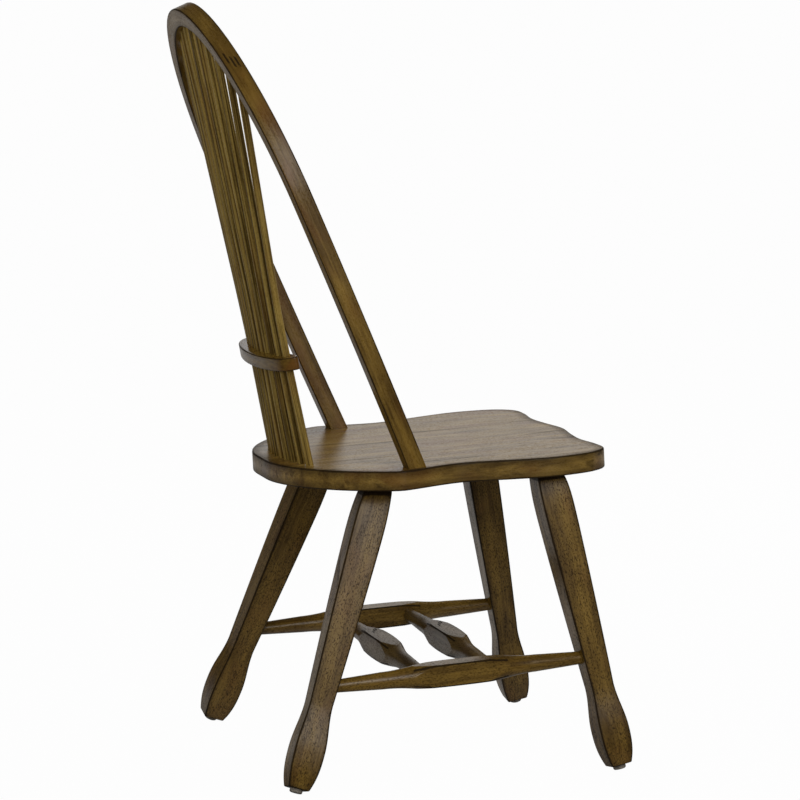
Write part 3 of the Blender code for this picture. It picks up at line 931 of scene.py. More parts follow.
def run_lengths(points: list[Vector]) -> list[float]:
    """How far along a line each of its points lies.

    Args:
        points: The line's points.

    Returns:
        The distances from the first point.
    """
    found = [0.0]
    for start, end in zip(points, points[1:]):
        found.append(found[-1] + (end - start).length)
    return found


def quarter_turns(points: list[Vector]) -> list[Vector]:
    """Points of one quarter, turned round Z to all four.

    Args:
        points: The points of the first quarter.

    Returns:
        The points, one quarter after the other.
    """
    turns = [Matrix.Rotation(turn * math.pi / 2, 3, "Z") for turn in range(4)]
    return [turn @ point for turn in turns for point in points]


def smooth_loop(points: list[Vector], steps: int) -> list[Vector]:
    """A closed curve through points.

    Args:
        points: The points that it passes through.
        steps: How many steps it has from each point to the next.

    Returns:
        The curve's points.
    """
    found = []
    count = len(points)
    for i in range(count):
        before, start, end, after = (points[(i + k) % count] for k in (-1, 0, 1, 2))
        for step in range(steps):
            t = step / steps
            lift = (end - before) * t + (2 * before - 5 * start + 4 * end - after) * t**2
            found.append(start + (lift + (3 * start - before - 3 * end + after) * t**3) / 2)
    return found


# Seat


@dataclass
class Seat:
    """The pitched seat board: serpentine front, waist, ears at the bow's feet and rounded tail."""

    height: float = 453.3 * MM
    pitch: float = math.radians(3.05)
    thickness: float = 28.3 * MM
    top_ease: float = 1.8 * MM
    under_ease: float = 2.2 * MM
    side_loops: Pair = (4 * MM, 7 * MM)
    face_insets: Triple = (2 * MM, 3 * MM, 5 * MM)
    curve_steps: int = 8
    grid_step: float = 23 * MM
    grid_count: int = 10
    tail: tuple[Pair, ...] = ((0, 227.5), (58, 224.5), (118, 203.5), (174, 163))
    ear: tuple[Pair, ...] = ((214.2, 116), (231, 86), (230, 64), (218.2, 21))
    waist: tuple[Pair, ...] = ((213.5, -10), (218, -40), (230, -83))
    lobe: tuple[Pair, ...] = ((240, -130), (239, -170), (228, -206), (202, -229.5))
    front: tuple[Pair, ...] = ((160, -231.5), (110, -226), (60, -229.5), (0, -236.5))

    def frame(self) -> Matrix:
        """The frame of the top face, whose Z is the face's normal."""
        return Matrix.Translation((0, 0, self.height)) @ Matrix.Rotation(-self.pitch, 4, "X")

    def normal(self) -> Vector:
        """The top face's normal."""
        return self.frame().col[2].to_3d()

    def above(self, x: float, y: float, drop: float = 0.0) -> Vector:
        """A point on the top face.

        Args:
            x: The point's X.
            y: The point's Y.
            drop: How far under the top face it lies instead.

        Returns:
            The point.
        """
        normal = self.normal()
        through = Vector((0, 0, self.height)) - normal * drop
        return Vector((x, y, through.z - (normal.x * x + normal.y * (y - through.y)) / normal.z))

    def outline(self) -> list[Vector]:
        """The board's outline, in its own frame."""
        pairs = self.tail + self.ear + self.waist + self.lobe + self.front
        half = [Vector((x, y, 0)) * MM for x, y in pairs]
        mirrored = [Vector((-p.x, p.y, 0)) for p in reversed(half[1:-1])]
        return smooth_loop(half + mirrored, self.curve_steps)

    def build(self) -> None:
        """Models the board and dresses it."""
        outline = self.outline()
        piece = Bench.plate("seat_board", outline, 0, -self.thickness)
        with Bench.editing(piece):
            upper = [-loop for loop in self.side_loops]
            lower = [loop - self.thickness for loop in reversed(self.side_loops)]
            Bench.slice_at([*upper, -self.thickness / 2, *lower], (0, 0, 1))
            Bench.ease_rim(piece, 0, self.top_ease)
            Bench.ease_rim(piece, -self.thickness, self.under_ease)
            for height in (0, -self.thickness):
                Bench.inset_face(piece, height, self.face_insets)
            steps = [step * self.grid_step for step in range(-self.grid_count, self.grid_count + 1)]
            Bench.slice_at(steps, (1, 0, 0))
            Bench.slice_at(steps, (0, 1, 0))
            Bench.close_up()
        rim = between([*outline, outline[0]])
        edges = rim + [p - Vector((0, 0, self.thickness)) for p in rim]
        grains = [Vector((v.co.x, v.co.z, v.co.y)) for v in piece.data.vertices]
        Bench.write_look(piece, grains, edges)
        Bench.hand_over(piece, self.frame(), SEAT_WOOD, "seat_wood", "seat")


# Legs


# A quarter round from its end inwards: shares of its radius along and across the leg
QUARTER_ROUND = ((0.0, 1.0), (0.13, 0.5), (0.5, 0.13))


@dataclass
class Leg:
    """One leg: a square section with a thigh and a waist, which ends in a paddle foot."""

    row: Row
    side: Side
    seat: Seat
    top: Pair
    foot: Pair
    stretcher_height: float
    sole_height: float = 8.3 * MM
    sole_width: float = 30 * MM
    sole_ease: float = 2.2 * MM
    sole_rounding: float = 2.6
    paddle_height: float = 59 * MM
    paddle_width: float = 44.3 * MM
    waist_height: float = 121 * MM
    waist_width: float = 33.8 * MM
    thigh_width: float = 46.2 * MM
    thigh_rounding: float = 1.3
    top_width: float = 38.5 * MM
    top_rounding: float = 3.0
    top_ease: float = 6 * MM
    shoulder_length: float = 52 * MM
    corner_ease: float = 0.05
    corner_loops: tuple[float, ...] = (0.08, 0.14, 0.26)
    stretch_steps: int = 12
    tenon_depth: float = 14 * MM
    clearance: float = 4.2 * MM
    mitre_reach: float = 45 * MM
    # Depths under the shoulder of extra glaze loops, which paint the seat's shadow on the leg's top
    seat_shadow_drops: tuple[float, ...] = (0, 3 * MM, 6 * MM)
    mark_height: float = 330 * MM
    mark_shift: float = 0.1
    grain_across: Pair = (0.31, 0.17)
    rear_grain: float = 0.7
    front_grain: float = 1.9
    axis_foot: Vector = field(init=False)
    axis_top: Vector = field(init=False)

    def __post_init__(self) -> None:
        """Works out where the leg's axis runs."""
        sign = self.side.value
        self.axis_foot = Vector((sign * self.foot[0], self.foot[1], 0))
        self.axis_top = self.seat.above(sign * self.top[0], self.top[1], self.seat.thickness)

    @property
    def name(self) -> str:
        """The leg's place in the chair."""
        return f"{self.row.value}_{self.side.label}"

    def direction(self) -> Vector:
        """The way up the leg."""
        return (self.axis_top - self.axis_foot).normalized()

    def at_height(self, height: float) -> Vector:
        """The point of the axis at a height above the floor."""
        return self.axis_foot + self.direction() * (height / self.direction().z)

    def shoulder(self, place: Matrix) -> float:
        """How far up the leg its square shoulder goes before a corner meets the seat.

        Args:
            place: The leg's frame.

        Returns:
            The distance from the floor along the leg.
        """
        normal = self.seat.normal()
        spread = abs(normal.dot(place.col[0].to_3d())) + abs(normal.dot(place.col[1].to_3d()))
        length = (self.axis_top - self.axis_foot).length
        gap = self.top_width / 2 * spread + self.clearance
        return length - gap / normal.dot(self.direction())

    def width(self, height: float, top_height: float) -> float:
        """The side of the square section.

        Args:
            height: The height of the section above the floor.
            top_height: The height of the leg's shoulder.

        Returns:
            The width.
        """
        thigh_height = top_height - self.shoulder_length
        if height < self.paddle_height:
            t = (self.paddle_height - height) / (self.paddle_height - self.sole_height)
            return self.paddle_width - (self.paddle_width - self.sole_width) * t**self.sole_rounding
        if height < self.waist_height:
            t = (height - self.paddle_height) / (self.waist_height - self.paddle_height)
            ease = (1 - math.cos(math.pi * t)) / 2
            return self.paddle_width - (self.paddle_width - self.waist_width) * ease
        if height < thigh_height:
            t = (thigh_height - height) / (thigh_height - self.waist_height)
            return self.thigh_width - (self.thigh_width - self.waist_width) * t**self.thigh_rounding
        t = (height - thigh_height) / self.shoulder_length
        return self.thigh_width - (self.thigh_width - self.top_width) * t**self.top_rounding

    def rings(self, top: float) -> list[Pair]:
        """The sections of the leg.

        Args:
            top: The height of the leg's shoulder.

        Returns:
            Pairs of a height and a width, from the sole up.
        """
        bottom = self.sole_height + self.sole_ease
        crown = top - self.top_ease
        stops = [bottom, self.paddle_height, self.waist_height, top - self.shoulder_length, crown]
        heights = [bottom]
        for low, high in zip(stops, stops[1:]):
            steps = range(1, self.stretch_steps + 1)
            heights += [low + (high - low) * step / self.stretch_steps for step in steps]
        found = [(h, self.width(h, top)) for h in heights]
        sole, rim = found[0][1], found[-1][1]
        below, over = [], []
        for along, across in QUARTER_ROUND:
            low, high = self.sole_height + self.sole_ease * along, top - self.top_ease * along
            below.append((low, sole - 2 * self.sole_ease * across))
            over.append((high, rim - 2 * self.top_ease * across))
        return below + found + over[::-1]

    def model(self, place: Matrix) -> Object:
        """Models the leg in its own frame.

        Args:
            place: The leg's frame in the chair.

        Returns:
            The leg, with its tenon.
        """
        slope = self.direction().z
        shoulder = self.shoulder(place)
        rings = [(height / slope, width) for height, width in self.rings(shoulder * slope)]
        low, high = rings[0][0], rings[-1][0]
        bpy.ops.object.select_all(action="DESELECT")
        middle, length = (0, 0, (low + high) / 2), high - low
        bpy.ops.mesh.primitive_cube_add(size=1, location=middle, scale=(1, 1, length))
        piece = Bench.added(f"{self.name}_leg")
        bpy.ops.object.transform_apply(location=True, rotation=True, scale=True)
        loops = [sign * (0.5 - loop) for loop in self.corner_loops for sign in (1, -1)]
        with Bench.editing(piece):
            Bench.slice_at(loops, (1, 0, 0))
            Bench.slice_at(loops, (0, 1, 0))
            Bench.pick(piece, Element.EDGE, self.is_corner)
            Bench.ease_picked(self.corner_ease)
            Bench.slice_at([height for height, _ in rings[1:-1]], (0, 0, 1))
            for height, width in rings:
                Bench.pick(piece, Element.VERT, lambda v, h=height: abs(v.co.z - h) < NEAR)
                bpy.ops.transform.resize(value=(width, width, 1), center_override=(0, 0, height))
            inner = (0.5 - self.corner_loops[-1]) * rings[-1][1] + NEAR
            Bench.pick(piece, Element.FACE, lambda f: self.is_tenon(f, high, inner))
            tenon = (self.axis_top - self.axis_foot).length + self.tenon_depth - high
            bpy.ops.mesh.extrude_region_move(TRANSFORM_OT_translate={"value": (0, 0, tenon)})
            Bench.close_up()
        return piece

    @staticmethod
    def is_corner(edge: bmesh.types.BMEdge) -> bool:
        """Whether an edge of the blank is one of its four long corners."""
        first, second = edge.verts
        outer = min(abs(n) for v in edge.verts for n in v.co.xy) > 0.5 - NEAR
        return outer and abs(first.co.z - second.co.z) > NEAR

    @staticmethod
    def is_tenon(face: bmesh.types.BMFace, top: float, inner: float) -> bool:
        """Whether a face is the part of the shoulder that the tenon grows from."""
        flat = all(abs(v.co.z - top) < NEAR for v in face.verts)
        return flat and max(abs(n) for v in face.verts for n in v.co.xy) < inner

    def build(self, rail: Vector) -> None:
        """Models the leg and dresses it.

        Args:
            rail: The way that the side stretcher runs, from the rear to the front.
        """
        place = frame_along(self.axis_foot, self.direction(), rail)
        piece = self.model(place)
        for vert in piece.data.vertices:
            vert.co = self.mitred(vert.co, place)
        slope = self.direction().z
        rings = [(h / slope, w / 2) for h, w in self.rings(self.shoulder(place) * slope)]
        edges = []
        for x, y in QUARTERS:
            edges += between([Vector((x * w, y * w, h)) for h, w in rings])
        # Glaze loops round the sole, and loops just under the shoulder that paint the seat's shadow
        full = rings[-1 - len(QUARTER_ROUND)][1]
        painted_shadow_rings = [(rings[-1][0] - drop, full) for drop in self.seat_shadow_drops]
        for height, half in (rings[0], *painted_shadow_rings):
            corners = [Vector((x * half, y * half, height)) for x, y in QUARTERS]
            edges += between([*corners, corners[0]])
        edges = [self.mitred(point, place) for point in edges]
        side, deep = self.grain_across
        along = self.rear_grain if self.row is Row.REAR else self.front_grain
        offset = Vector((side * self.side.value, deep, along))
        grains = [v.co + offset for v in piece.data.vertices]
        Bench.write_look(piece, grains, edges, self.marks(rings))
        Bench.hand_over(piece, place, LEG_WOOD, "frame_wood", f"leg_{self.name}")

    def mitred(self, point: Vector, place: Matrix) -> Vector:
        """Lifts a point near the shoulder, so that the shoulder lies flat under the seat.

        Args:
            point: A point of the straight-cut leg, in the leg's frame.
            place: The leg's frame.

        Returns:
            The point of the mitred leg.
        """
        normal = place.to_3x3().transposed() @ self.seat.normal()
        shoulder = self.shoulder(place)
        if point.z > shoulder + NEAR or point.z < shoulder - self.mitre_reach:
            return point
        length = (self.axis_top - self.axis_foot).length
        under = length - (normal.x * point.x + normal.y * point.y + self.clearance) / normal.z
        share = (point.z - shoulder + self.mitre_reach) / self.mitre_reach
        return point + Vector((0, 0, (under - shoulder) * share * share))

    def marks(self, rings: list[Pair]) -> Matrix | None:
        """The frame of the struck marks on the rear face of the right rear leg.

        Args:
            rings: Distances up the leg with half widths.

        Returns:
            The frame, or None for a leg without marks.
        """
        if self.row is not Row.REAR or self.side is not Side.RIGHT:
            return None
        height, half = min(rings, key=lambda ring: abs(ring[0] - self.mark_height))
        centre = Vector((self.mark_shift * half, -half, height))
        return frame_along(centre, Vector((0, -1, 0)), Vector((0, 0, 1)))


# Stretchers


@dataclass
class Stretcher:
    """A turned stretcher with four leaf-shaped flats on its bulge."""

    name: str
    node: str
    start: Vector
    end: Vector
    marked: bool = False
    bulge_length: float = 86 * MM
    end_radius: float = 9.4 * MM
    neck_radius: float = 12.4 * MM
    shoulder_radius: float = 21.2 * MM
    bulge_radius: float = 22.4 * MM
    flat_width: float = 32.8 * MM
    shoulder_length: float = 72 * MM
    fold_angle: float = math.radians(20)
    plain_length: float = 18 * MM
    flat_shares: tuple[float, ...] = (0.92, 0.8, 0.6, 0.32)
    round_shares: tuple[float, ...] = (0.12, 0.35, 0.65)
    bulge_steps: int = 20
    shoulder_steps: int = 30
    neck_steps: int = 8
    mark_place: float = -42 * MM
    grain_shift: Triple = (0.2, 0.45, 3.1)

    def profile(self) -> list[Pair]:
        """The turned profile: pairs of a distance from the middle and a radius, from end to end."""
        end = (self.end - self.start).length / 2
        shoulder = self.bulge_length / 2
        neck = shoulder + self.shoulder_length
        half = []
        for i in range(self.bulge_steps):
            t = i / self.bulge_steps
            drop = (self.bulge_radius - self.shoulder_radius) * t**2
            half.append((shoulder * t, self.bulge_radius - drop))
        for i in range(self.shoulder_steps):
            t = i / self.shoulder_steps
            drop = (self.shoulder_radius - self.neck_radius) * math.sin(math.pi / 2 * t)
            half.append((shoulder + self.shoulder_length * t, self.shoulder_radius - drop))
        plain = end - self.plain_length
        for i in range(self.neck_steps):
            t = i / self.neck_steps
            drop = (self.neck_radius - self.end_radius) * t
            half.append((neck + (plain - neck) * t, self.neck_radius - drop))
        half += [(plain, self.end_radius), (end, self.end_radius)]
        return [(-distance, radius) for distance, radius in reversed(half[1:])] + half

    def section(self, radius: float) -> list[Vector]:
        """The section of the stretcher: a circle cut by four flats.

        Args:
            radius: The circle's radius.

        Returns:
            The section's points, which keep to the edges of the flats.
        """
        flat = self.flat_width / 2
        leaf = math.sqrt(max(radius**2 - flat**2, 0))
        reach = min(radius, flat)
        rim = math.atan2(leaf, reach)
        outer = [rim + (math.pi / 4 - rim) * share for share in self.round_shares]
        right = [Vector((reach, leaf * share, 0)) for share in (*reversed(self.flat_shares), 1)]
        right += [Vector((radius * math.cos(a), radius * math.sin(a), 0)) for a in outer]
        left = [Vector((p.x, -p.y, 0)) for p in reversed(right)]
        corner = Vector((radius, 0, 0))
        corner.rotate(Matrix.Rotation(math.pi / 4, 3, "Z"))
        return quarter_turns([*left, Vector((reach, 0, 0)), *right, corner])

    def build(self, number: int) -> None:
        """Models the stretcher and dresses it.

        Args:
            number: The stretcher's place in the row, which moves its grain.
        """
        profile = self.profile()
        sections = [self.section(radius) for _, radius in profile]
        columns, rings = len(sections[0]), len(profile) - 1
        piece = Bench.rod_blank(self.name, columns, rings)

        def spot(column: int, ring: int) -> tuple[Vector, Vector]:
            """The place of one corner of a section, which also serves as its grain."""
            place = sections[ring][column] + Vector((0, 0, profile[ring][0]))
            return place, place

        Bench.lay_rings(piece, columns, rings, spot)
        with Bench.editing(piece):
            Bench.close_up()
        side, deep, along = self.grain_shift
        offset = Vector((side * number, deep, along * number))
        grains = [v.co + offset for v in piece.data.vertices]
        place = frame_along((self.start + self.end) / 2, self.end - self.start, Vector((0, 0, 1)))
        Bench.write_look(piece, grains, self.ridges(profile), self.marks())
        # Cross stretchers take their struck marks and the darker frame wood that paints the shade
        # under the seat
        finish = SHADED_CROSS_WOOD if self.marked else RAIL_WOOD
        Bench.hand_over(piece, place, finish, "frame_wood", self.node, self.fold_angle)

    def ridges(self, profile: list[Pair]) -> list[Vector]:
        """Points along the ridges between the four flats.

        Args:
            profile: The turned profile.

        Returns:
            The points.
        """
        side = math.sqrt(0.5)
        line = [Vector((side * r, side * r, d)) for d, r in profile if r > self.flat_width / 2]
        return quarter_turns(between(line))

    def marks(self) -> Matrix | None:
        """The frame of the struck marks on the top flat, or None for a stretcher without them."""
        if not self.marked:
            return None
        centre = Vector((0, self.flat_width / 2, self.mark_place))
        return frame_along(centre, Vector((0, 1, 0)), Vector((0, 0, 1)))


@dataclass
class Undercarriage:
    """The four legs, the two side stretchers and the two cross stretchers."""

    seat: Seat
    rear_top: Pair = (148.9 * MM, 94 * MM)
    rear_foot: Pair = (251.7 * MM, 244.5 * MM)
    front_top: Pair = (168.7 * MM, -151.7 * MM)
    front_foot: Pair = (239.1 * MM, -244.3 * MM)
    rear_rail_height: float = 143.4 * MM
    front_rail_height: float = 163.7 * MM
    rear_setback: float = 150.5 * MM
    front_setback: float = 252 * MM
    rail_half_depth: float = 16.3 * MM
    socket_depth: float = 13 * MM
    first_cross_number: int = 3

    def leg(self, row: Row, side: Side) -> Leg:
        """One leg of the four."""
        if row is Row.REAR:
            return Leg(row, side, self.seat, self.rear_top, self.rear_foot, self.rear_rail_height)
        return Leg(row, side, self.seat, self.front_top, self.front_foot, self.front_rail_height)

    def build(self) -> None:
        """Models the legs and stretchers and dresses them."""
        rails = {}
        for side in Side:
            rear, front = self.leg(Row.REAR, side), self.leg(Row.FRONT, side)
            start = rear.at_height(rear.stretcher_height)
            end = front.at_height(front.stretcher_height)
            along = (end - start).normalized()
            rails[side] = (start, along)
            for leg in (rear, front):
                leg.build(along)
            ends = [self.sunk(rear, start, along), self.sunk(front, end, -along)]
            name = f"stretcher_{side.label}"
            Stretcher(f"{side.label}_side_stretcher", name, *ends).build(side.value)
        sink = self.rail_half_depth - self.socket_depth
        setbacks = {Row.REAR: self.rear_setback, Row.FRONT: self.front_setback}
        for number, (row, setback) in enumerate(setbacks.items(), self.first_cross_number):
            left, right = (start + along * setback for start, along in rails.values())
            across = (right - left).normalized()
            ends = (left + across * sink, right - across * sink)
            node = f"stretcher_cross_{row.value}"
            Stretcher(f"{row.value}_cross_stretcher", node, *ends, marked=True).build(number)

    def sunk(self, leg: Leg, start: Vector, inward: Vector) -> Vector:
        """Where a side stretcher ends in a leg.

        Args:
            leg: The leg.
            start: The point where the stretcher's line crosses the leg's axis.
            inward: The way from there along the stretcher.

        Returns:
            The stretcher's end.
        """
        place = frame_along(leg.axis_foot, leg.direction(), inward)
        half = leg.width(leg.stretcher_height, leg.shoulder(place) * leg.direction().z) / 2
        return start + inward * (half - self.socket_depth)


# Bow


@dataclass
class Bow:
    """The bent hoop of the back: two limbs and half an ellipse, in a plane that leans back."""

    seat: Seat
    lean: float = math.radians(23.66)
    foot_y: float = 68.4 * MM
    foot_half_width: float = 218.2 * MM
    half_width: float = 237.2 * MM
    limb_length: float = 407.6 * MM
    crown_height: float = 290.9 * MM
    thickness: float = 27 * MM
    depth: float = 25.8 * MM
    edge_ease: float = 2.0 * MM
    sink: float = 0.5 * MM
    limb_steps: int = 40
    crown_steps: int = 160
    corner_angles: tuple[float, ...] = (0, 30, 60, 90)
    face_loops: tuple[float, ...] = (1.5 * MM, 5 * MM)
    grain_shift: Pair = (2.9, 2.0)
    mark_angle: float = math.radians(-43)
    mark_step: float = 0.01

    def frame(self) -> Matrix:
        """The frame of the rear plane: Y runs up the plane and Z points to the front."""
        out = Vector((0, -math.cos(self.lean), math.sin(self.lean)))
        return frame_along(self.seat.above(0, self.foot_y), out, Vector((0, 0, 1)))

    def crown_point(self, angle: float, inset: float) -> Vector:
        """A point of the crown.

        Args:
            angle: Its angle from the top.
            inset: How far inside the outer edge it lies.

        Returns:
            The point, in the bow's plane.
        """
        x = (self.half_width - inset) * math.sin(angle)
        return Vector((x, self.limb_length + (self.crown_height - inset) * math.cos(angle), 0))

    def limb_point(self, rise: float, inset: float) -> Vector:
        """A point of the +X limb.

        Args:
            rise: How far up the plane it lies.
            inset: How far inside the outer edge it lies.

        Returns:
            The point, in the bow's plane.
        """
        share = (self.limb_length - rise) / self.limb_length
        narrowing = (self.half_width - self.foot_half_width) * share**2
        return Vector((self.half_width - narrowing - inset, rise, 0))

    def path(self) -> list[tuple[Vector, Vector]]:
        """Pairs of points on the outer and the inner edge, from the left foot to the right one."""
        rises = [self.limb_length * i / self.limb_steps for i in range(self.limb_steps)]
        limb = [(self.limb_point(rise, 0), self.limb_point(rise, self.thickness)) for rise in rises]
        angles = [math.pi * (0.5 - i / self.crown_steps) for i in range(self.crown_steps + 1)]
        crown = [(self.crown_point(a, 0), self.crown_point(a, self.thickness)) for a in angles]
        mirror = Matrix.Diagonal((-1, 1, 1))
        other = [(mirror @ outer, mirror @ inner) for outer, inner in reversed(limb)]
        return limb + crown + other

    def section(self) -> list[Pair]:
        """The section, with rounded corners: pairs across and deep, from its middle."""
        across, deep = self.thickness / 2, self.depth / 2
        found = []
        for turn in range(4):
            half, rise = (across, deep) if turn % 2 == 0 else (deep, across)
            loops = [self.edge_ease + loop for loop in self.face_loops]
            side = [(half, rise - loop) for loop in (rise, *reversed(loops))]
            ease = self.edge_ease
            arc = [
                (half - ease * (1 - math.cos(a)), rise - ease * (1 - math.sin(a)))
                for a in map(math.radians, self.corner_angles)
            ]
            next_side = [(half - loop, rise) for loop in loops]
            spin = Matrix.Rotation(turn * math.pi / 2, 2)
            found += [tuple(spin @ Vector(p)) for p in side + arc + next_side]
        return found

    def build(self) -> None:
        """Models the bow and dresses it."""
        path, section = self.path(), self.section()
        columns, rings = len(section), len(path) - 1
        piece = Bench.rod_blank("bow_hoop", columns, rings)
        place = self.frame()
        runs = run_lengths([outer for outer, _ in path])

        def at(ring: int, across: float, deep: float) -> Vector:
            """A point of the bow from its place in the section of a ring."""
            outer, inner = path[ring]
            share = 0.5 - across / self.thickness
            return outer.lerp(inner, share) + Vector((0, 0, self.depth / 2 + deep))

        def spot(column: int, ring: int) -> tuple[Vector, Vector]:
            """The place and the grain of one corner of a section."""
            across, deep = section[column]
            point = at(ring, across, deep)
            if ring in (0, rings):
                point = self.trimmed(point, at(1 if ring == 0 else rings - 1, across, deep), place)
            side, rise = self.grain_shift
            return point, Vector((across + side, deep + rise, runs[ring]))

        grains = Bench.lay_rings(piece, columns, rings, spot)
        with Bench.editing(piece):
            bpy.ops.mesh.select_all(action="SELECT")
            bpy.ops.mesh.normals_make_consistent(inside=False)
        edges = []
        for x, y in QUARTERS:
            across, deep = x * self.thickness / 2, y * self.depth / 2
            edges += between([at(ring, across, deep) for ring in range(rings + 1)])
        Bench.write_look(piece, grains, edges, self.marks())
        Bench.hand_over(piece, place, BOW_WOOD, "frame_wood", "bow")

    def trimmed(self, point: Vector, above: Vector, place: Matrix) -> Vector:
        """Slides a corner of the foot along the limb until it lies just inside the seat's top.

        Args:
            point: The corner, in the bow's plane.
            above: The same corner of the next section up.
            place: The bow's frame.

        Returns:
            The corner on the seat, in the bow's plane.
        """
        to_seat = self.seat.frame().inverted() @ place
        low, high = to_seat @ point, to_seat @ above
        share = (-self.sink - low.z) / (high.z - low.z)
        return point.lerp(above, share)

    def marks(self) -> Matrix:
        """The frame of the struck marks on the outer face of the right limb, high up."""
        angle, step = self.mark_angle, self.mark_step
        centre = self.crown_point(angle, 0) + Vector((0, 0, self.depth / 2))
        ahead = self.crown_point(angle + step, 0) - self.crown_point(angle - step, 0)
        out = Vector((-ahead.y, ahead.x, 0))
        return frame_along(centre, out, ahead)


# Sheaf


@dataclass
class Sheaf:
    """The spindles, in even steps at the seat, at the band and round the crown, and their band."""

    seat: Seat
    bow: Bow
    count: int = 11
    seat_half_spread: float = 104.8 * MM
    seat_y: float = 199 * MM
    seat_sag: float = 17.8 * MM
    band_half_spread: float = 104 * MM
    band_sag: float = 12.2 * MM
    crown_half_angle: float = math.radians(46.3)
    foot_radius: float = 5.6 * MM
    top_radius: float = 5.15 * MM
    seat_depth: float = 14 * MM
    bow_depth: float = 12 * MM
    bend_reach: float = 50 * MM
    bend_steps: int = 14
    straight_steps: int = 6
    columns: int = 20
    band_y: float = 224.6 * MM
    band_z: float = 590 * MM
    band_lean: float = math.radians(11)
    band_height: float = 19 * MM
    band_end_reach: float = 23.5 * MM
    band_squareness: float = 10
    band_behind: float = 19 * MM
    band_before: float = 12 * MM
    band_ease: float = 1.8 * MM
    band_points: int = 168
    band_loops: Pair = (3.4 * MM, 6 * MM)
    band_insets: Pair = (1.6 * MM, 2.4 * MM)
    band_grain: float = 1.7
    grain_start: Triple = (0.0, 0.4, 37.0)
    grain_step: Pair = (0.9, 2.3)

    def band_frame(self) -> Matrix:
        """The frame of the band's middle: Z runs up along the spindles and Y to the rear."""
        up = Vector((0, math.sin(self.band_lean), math.cos(self.band_lean)))
        return frame_along(Vector((0, self.band_y, self.band_z)), up, Vector((0, 1, 0)))

    def band_row(self, x: float) -> float:
        """The row of spindles in the band's own plane."""
        return -self.band_sag * (x / self.band_half_spread) ** 2

    def path(self, index: int) -> list[Vector]:
        """The run of one spindle.

        Args:
            index: The spindle's place in the row.

        Returns:
            Points from the end in the seat to the end in the bow.
        """
        share = 2 * index / (self.count - 1) - 1
        x = self.band_half_spread * share
        row = self.seat_y - self.seat_sag * share**2
        foot = self.seat.above(self.seat_half_spread * share, row)
        band = self.band_frame() @ Vector((x, self.band_row(x), 0))
        low = (band - foot).normalized()
        knee = band + low * (self.band_height / 2 + self.bend_reach)
        inner = self.bow.crown_point(self.crown_half_angle * share, self.bow.thickness)
        head = self.bow.frame() @ (inner + Vector((0, 0, self.bow.depth / 2)))
        high = (head - knee).normalized()
        start, end = knee - low * self.bend_reach, knee + high * self.bend_reach
        first, last = foot - low * self.seat_depth, head + high * self.bow_depth
        bend = []
        for i in range(self.bend_steps + 1):
            t = i / self.bend_steps
            bend.append(start * (1 - t) ** 2 + knee * (2 * t * (1 - t)) + end * t**2)
        steps = [i / self.straight_steps for i in range(self.straight_steps)]
        below = [first.lerp(start, t) for t in steps]
        over = [last.lerp(end, t) for t in steps]
        return below + bend + over[::-1]

    def build(self) -> None:
        """Models the spindles and the band and dresses them."""
        rings = len(self.path(0)) - 1
        blank = Bench.rod_blank("spindle_blank", self.columns, rings)
        for index in range(self.count):
            self.build_spindle(Bench.copy(blank, f"sheaf_spindle_{index + 1:02d}"), index)
        bpy.data.objects.remove(blank)
        self.build_band()

    def build_spindle(self, piece: Object, index: int) -> None:
        """Lays one copy of the blank along its path and dresses it.

        Args:
            piece: The copy.
            index: The spindle's place in the row.
        """
        path = self.path(index)
        rings = len(path) - 1
        beside = [(max(i - 1, 0), min(i + 1, rings)) for i in range(rings + 1)]
        ways = [(path[after] - path[before]).normalized() for before, after in beside]
        runs = run_lengths(path)
        side, along = (step * index for step in self.grain_step)
        shift = Vector(self.grain_start) + Vector((side, 0, along))

        def spot(column: int, ring: int) -> tuple[Vector, Vector]:
            """The place and the grain of one corner of a ring."""
            radius = self.foot_radius + (self.top_radius - self.foot_radius) * runs[ring] / runs[-1]
            angle = math.tau * column / self.columns
            out = Vector((radius * math.cos(angle), radius * math.sin(angle), 0))
            place = frame_along(path[ring], ways[ring], Vector((0, 1, 0))) @ out
            return place, out + shift + Vector((0, 0, runs[ring]))

        grains = Bench.lay_rings(piece, self.columns, rings, spot)
        Bench.write_look(piece, grains, [NOWHERE])
        node = f"spindle_{index + 1:02d}"
        Bench.hand_over(piece, Matrix.Identity(4), SPINDLE_WOOD, "spindle_wood", node)

    def band_outline(self) -> list[Vector]:
        """The band's outline, in its own plane."""
        found = []
        for i in range(self.band_points):
            angle = math.tau * (i + 0.5) / self.band_points
            x = (self.band_half_spread + self.band_end_reach) * math.cos(angle)
            fullness = math.sqrt(1 - abs(math.cos(angle)) ** self.band_squareness)
            reach = self.band_behind if math.sin(angle) > 0 else -self.band_before
            found.append(Vector((x, self.band_row(x) + reach * fullness, 0)))
        return found

    def build_band(self) -> None:
        """Models the band and dresses it."""
        half = self.band_height / 2
        outline = self.band_outline()
        piece = Bench.plate("sheaf_band", outline, half, -half)
        with Bench.editing(piece):
            upper = [half - loop for loop in self.band_loops]
            Bench.slice_at([*upper, *(-height for height in reversed(upper))], (0, 0, 1))
            for height in (half, -half):
                Bench.ease_rim(piece, height, self.band_ease)
                Bench.inset_face(piece, height, self.band_insets)
            Bench.close_up()
        rim = between([*outline, outline[0]])
        edges = [p + Vector((0, 0, height)) for p in rim for height in (half, -half)]
        grains = [Vector((v.co.y, v.co.z + self.band_grain, v.co.x)) for v in piece.data.vertices]
        Bench.write_look(piece, grains, edges)
        Bench.hand_over(piece, self.band_frame(), BAND_WOOD, "frame_wood", "band")


# Glides


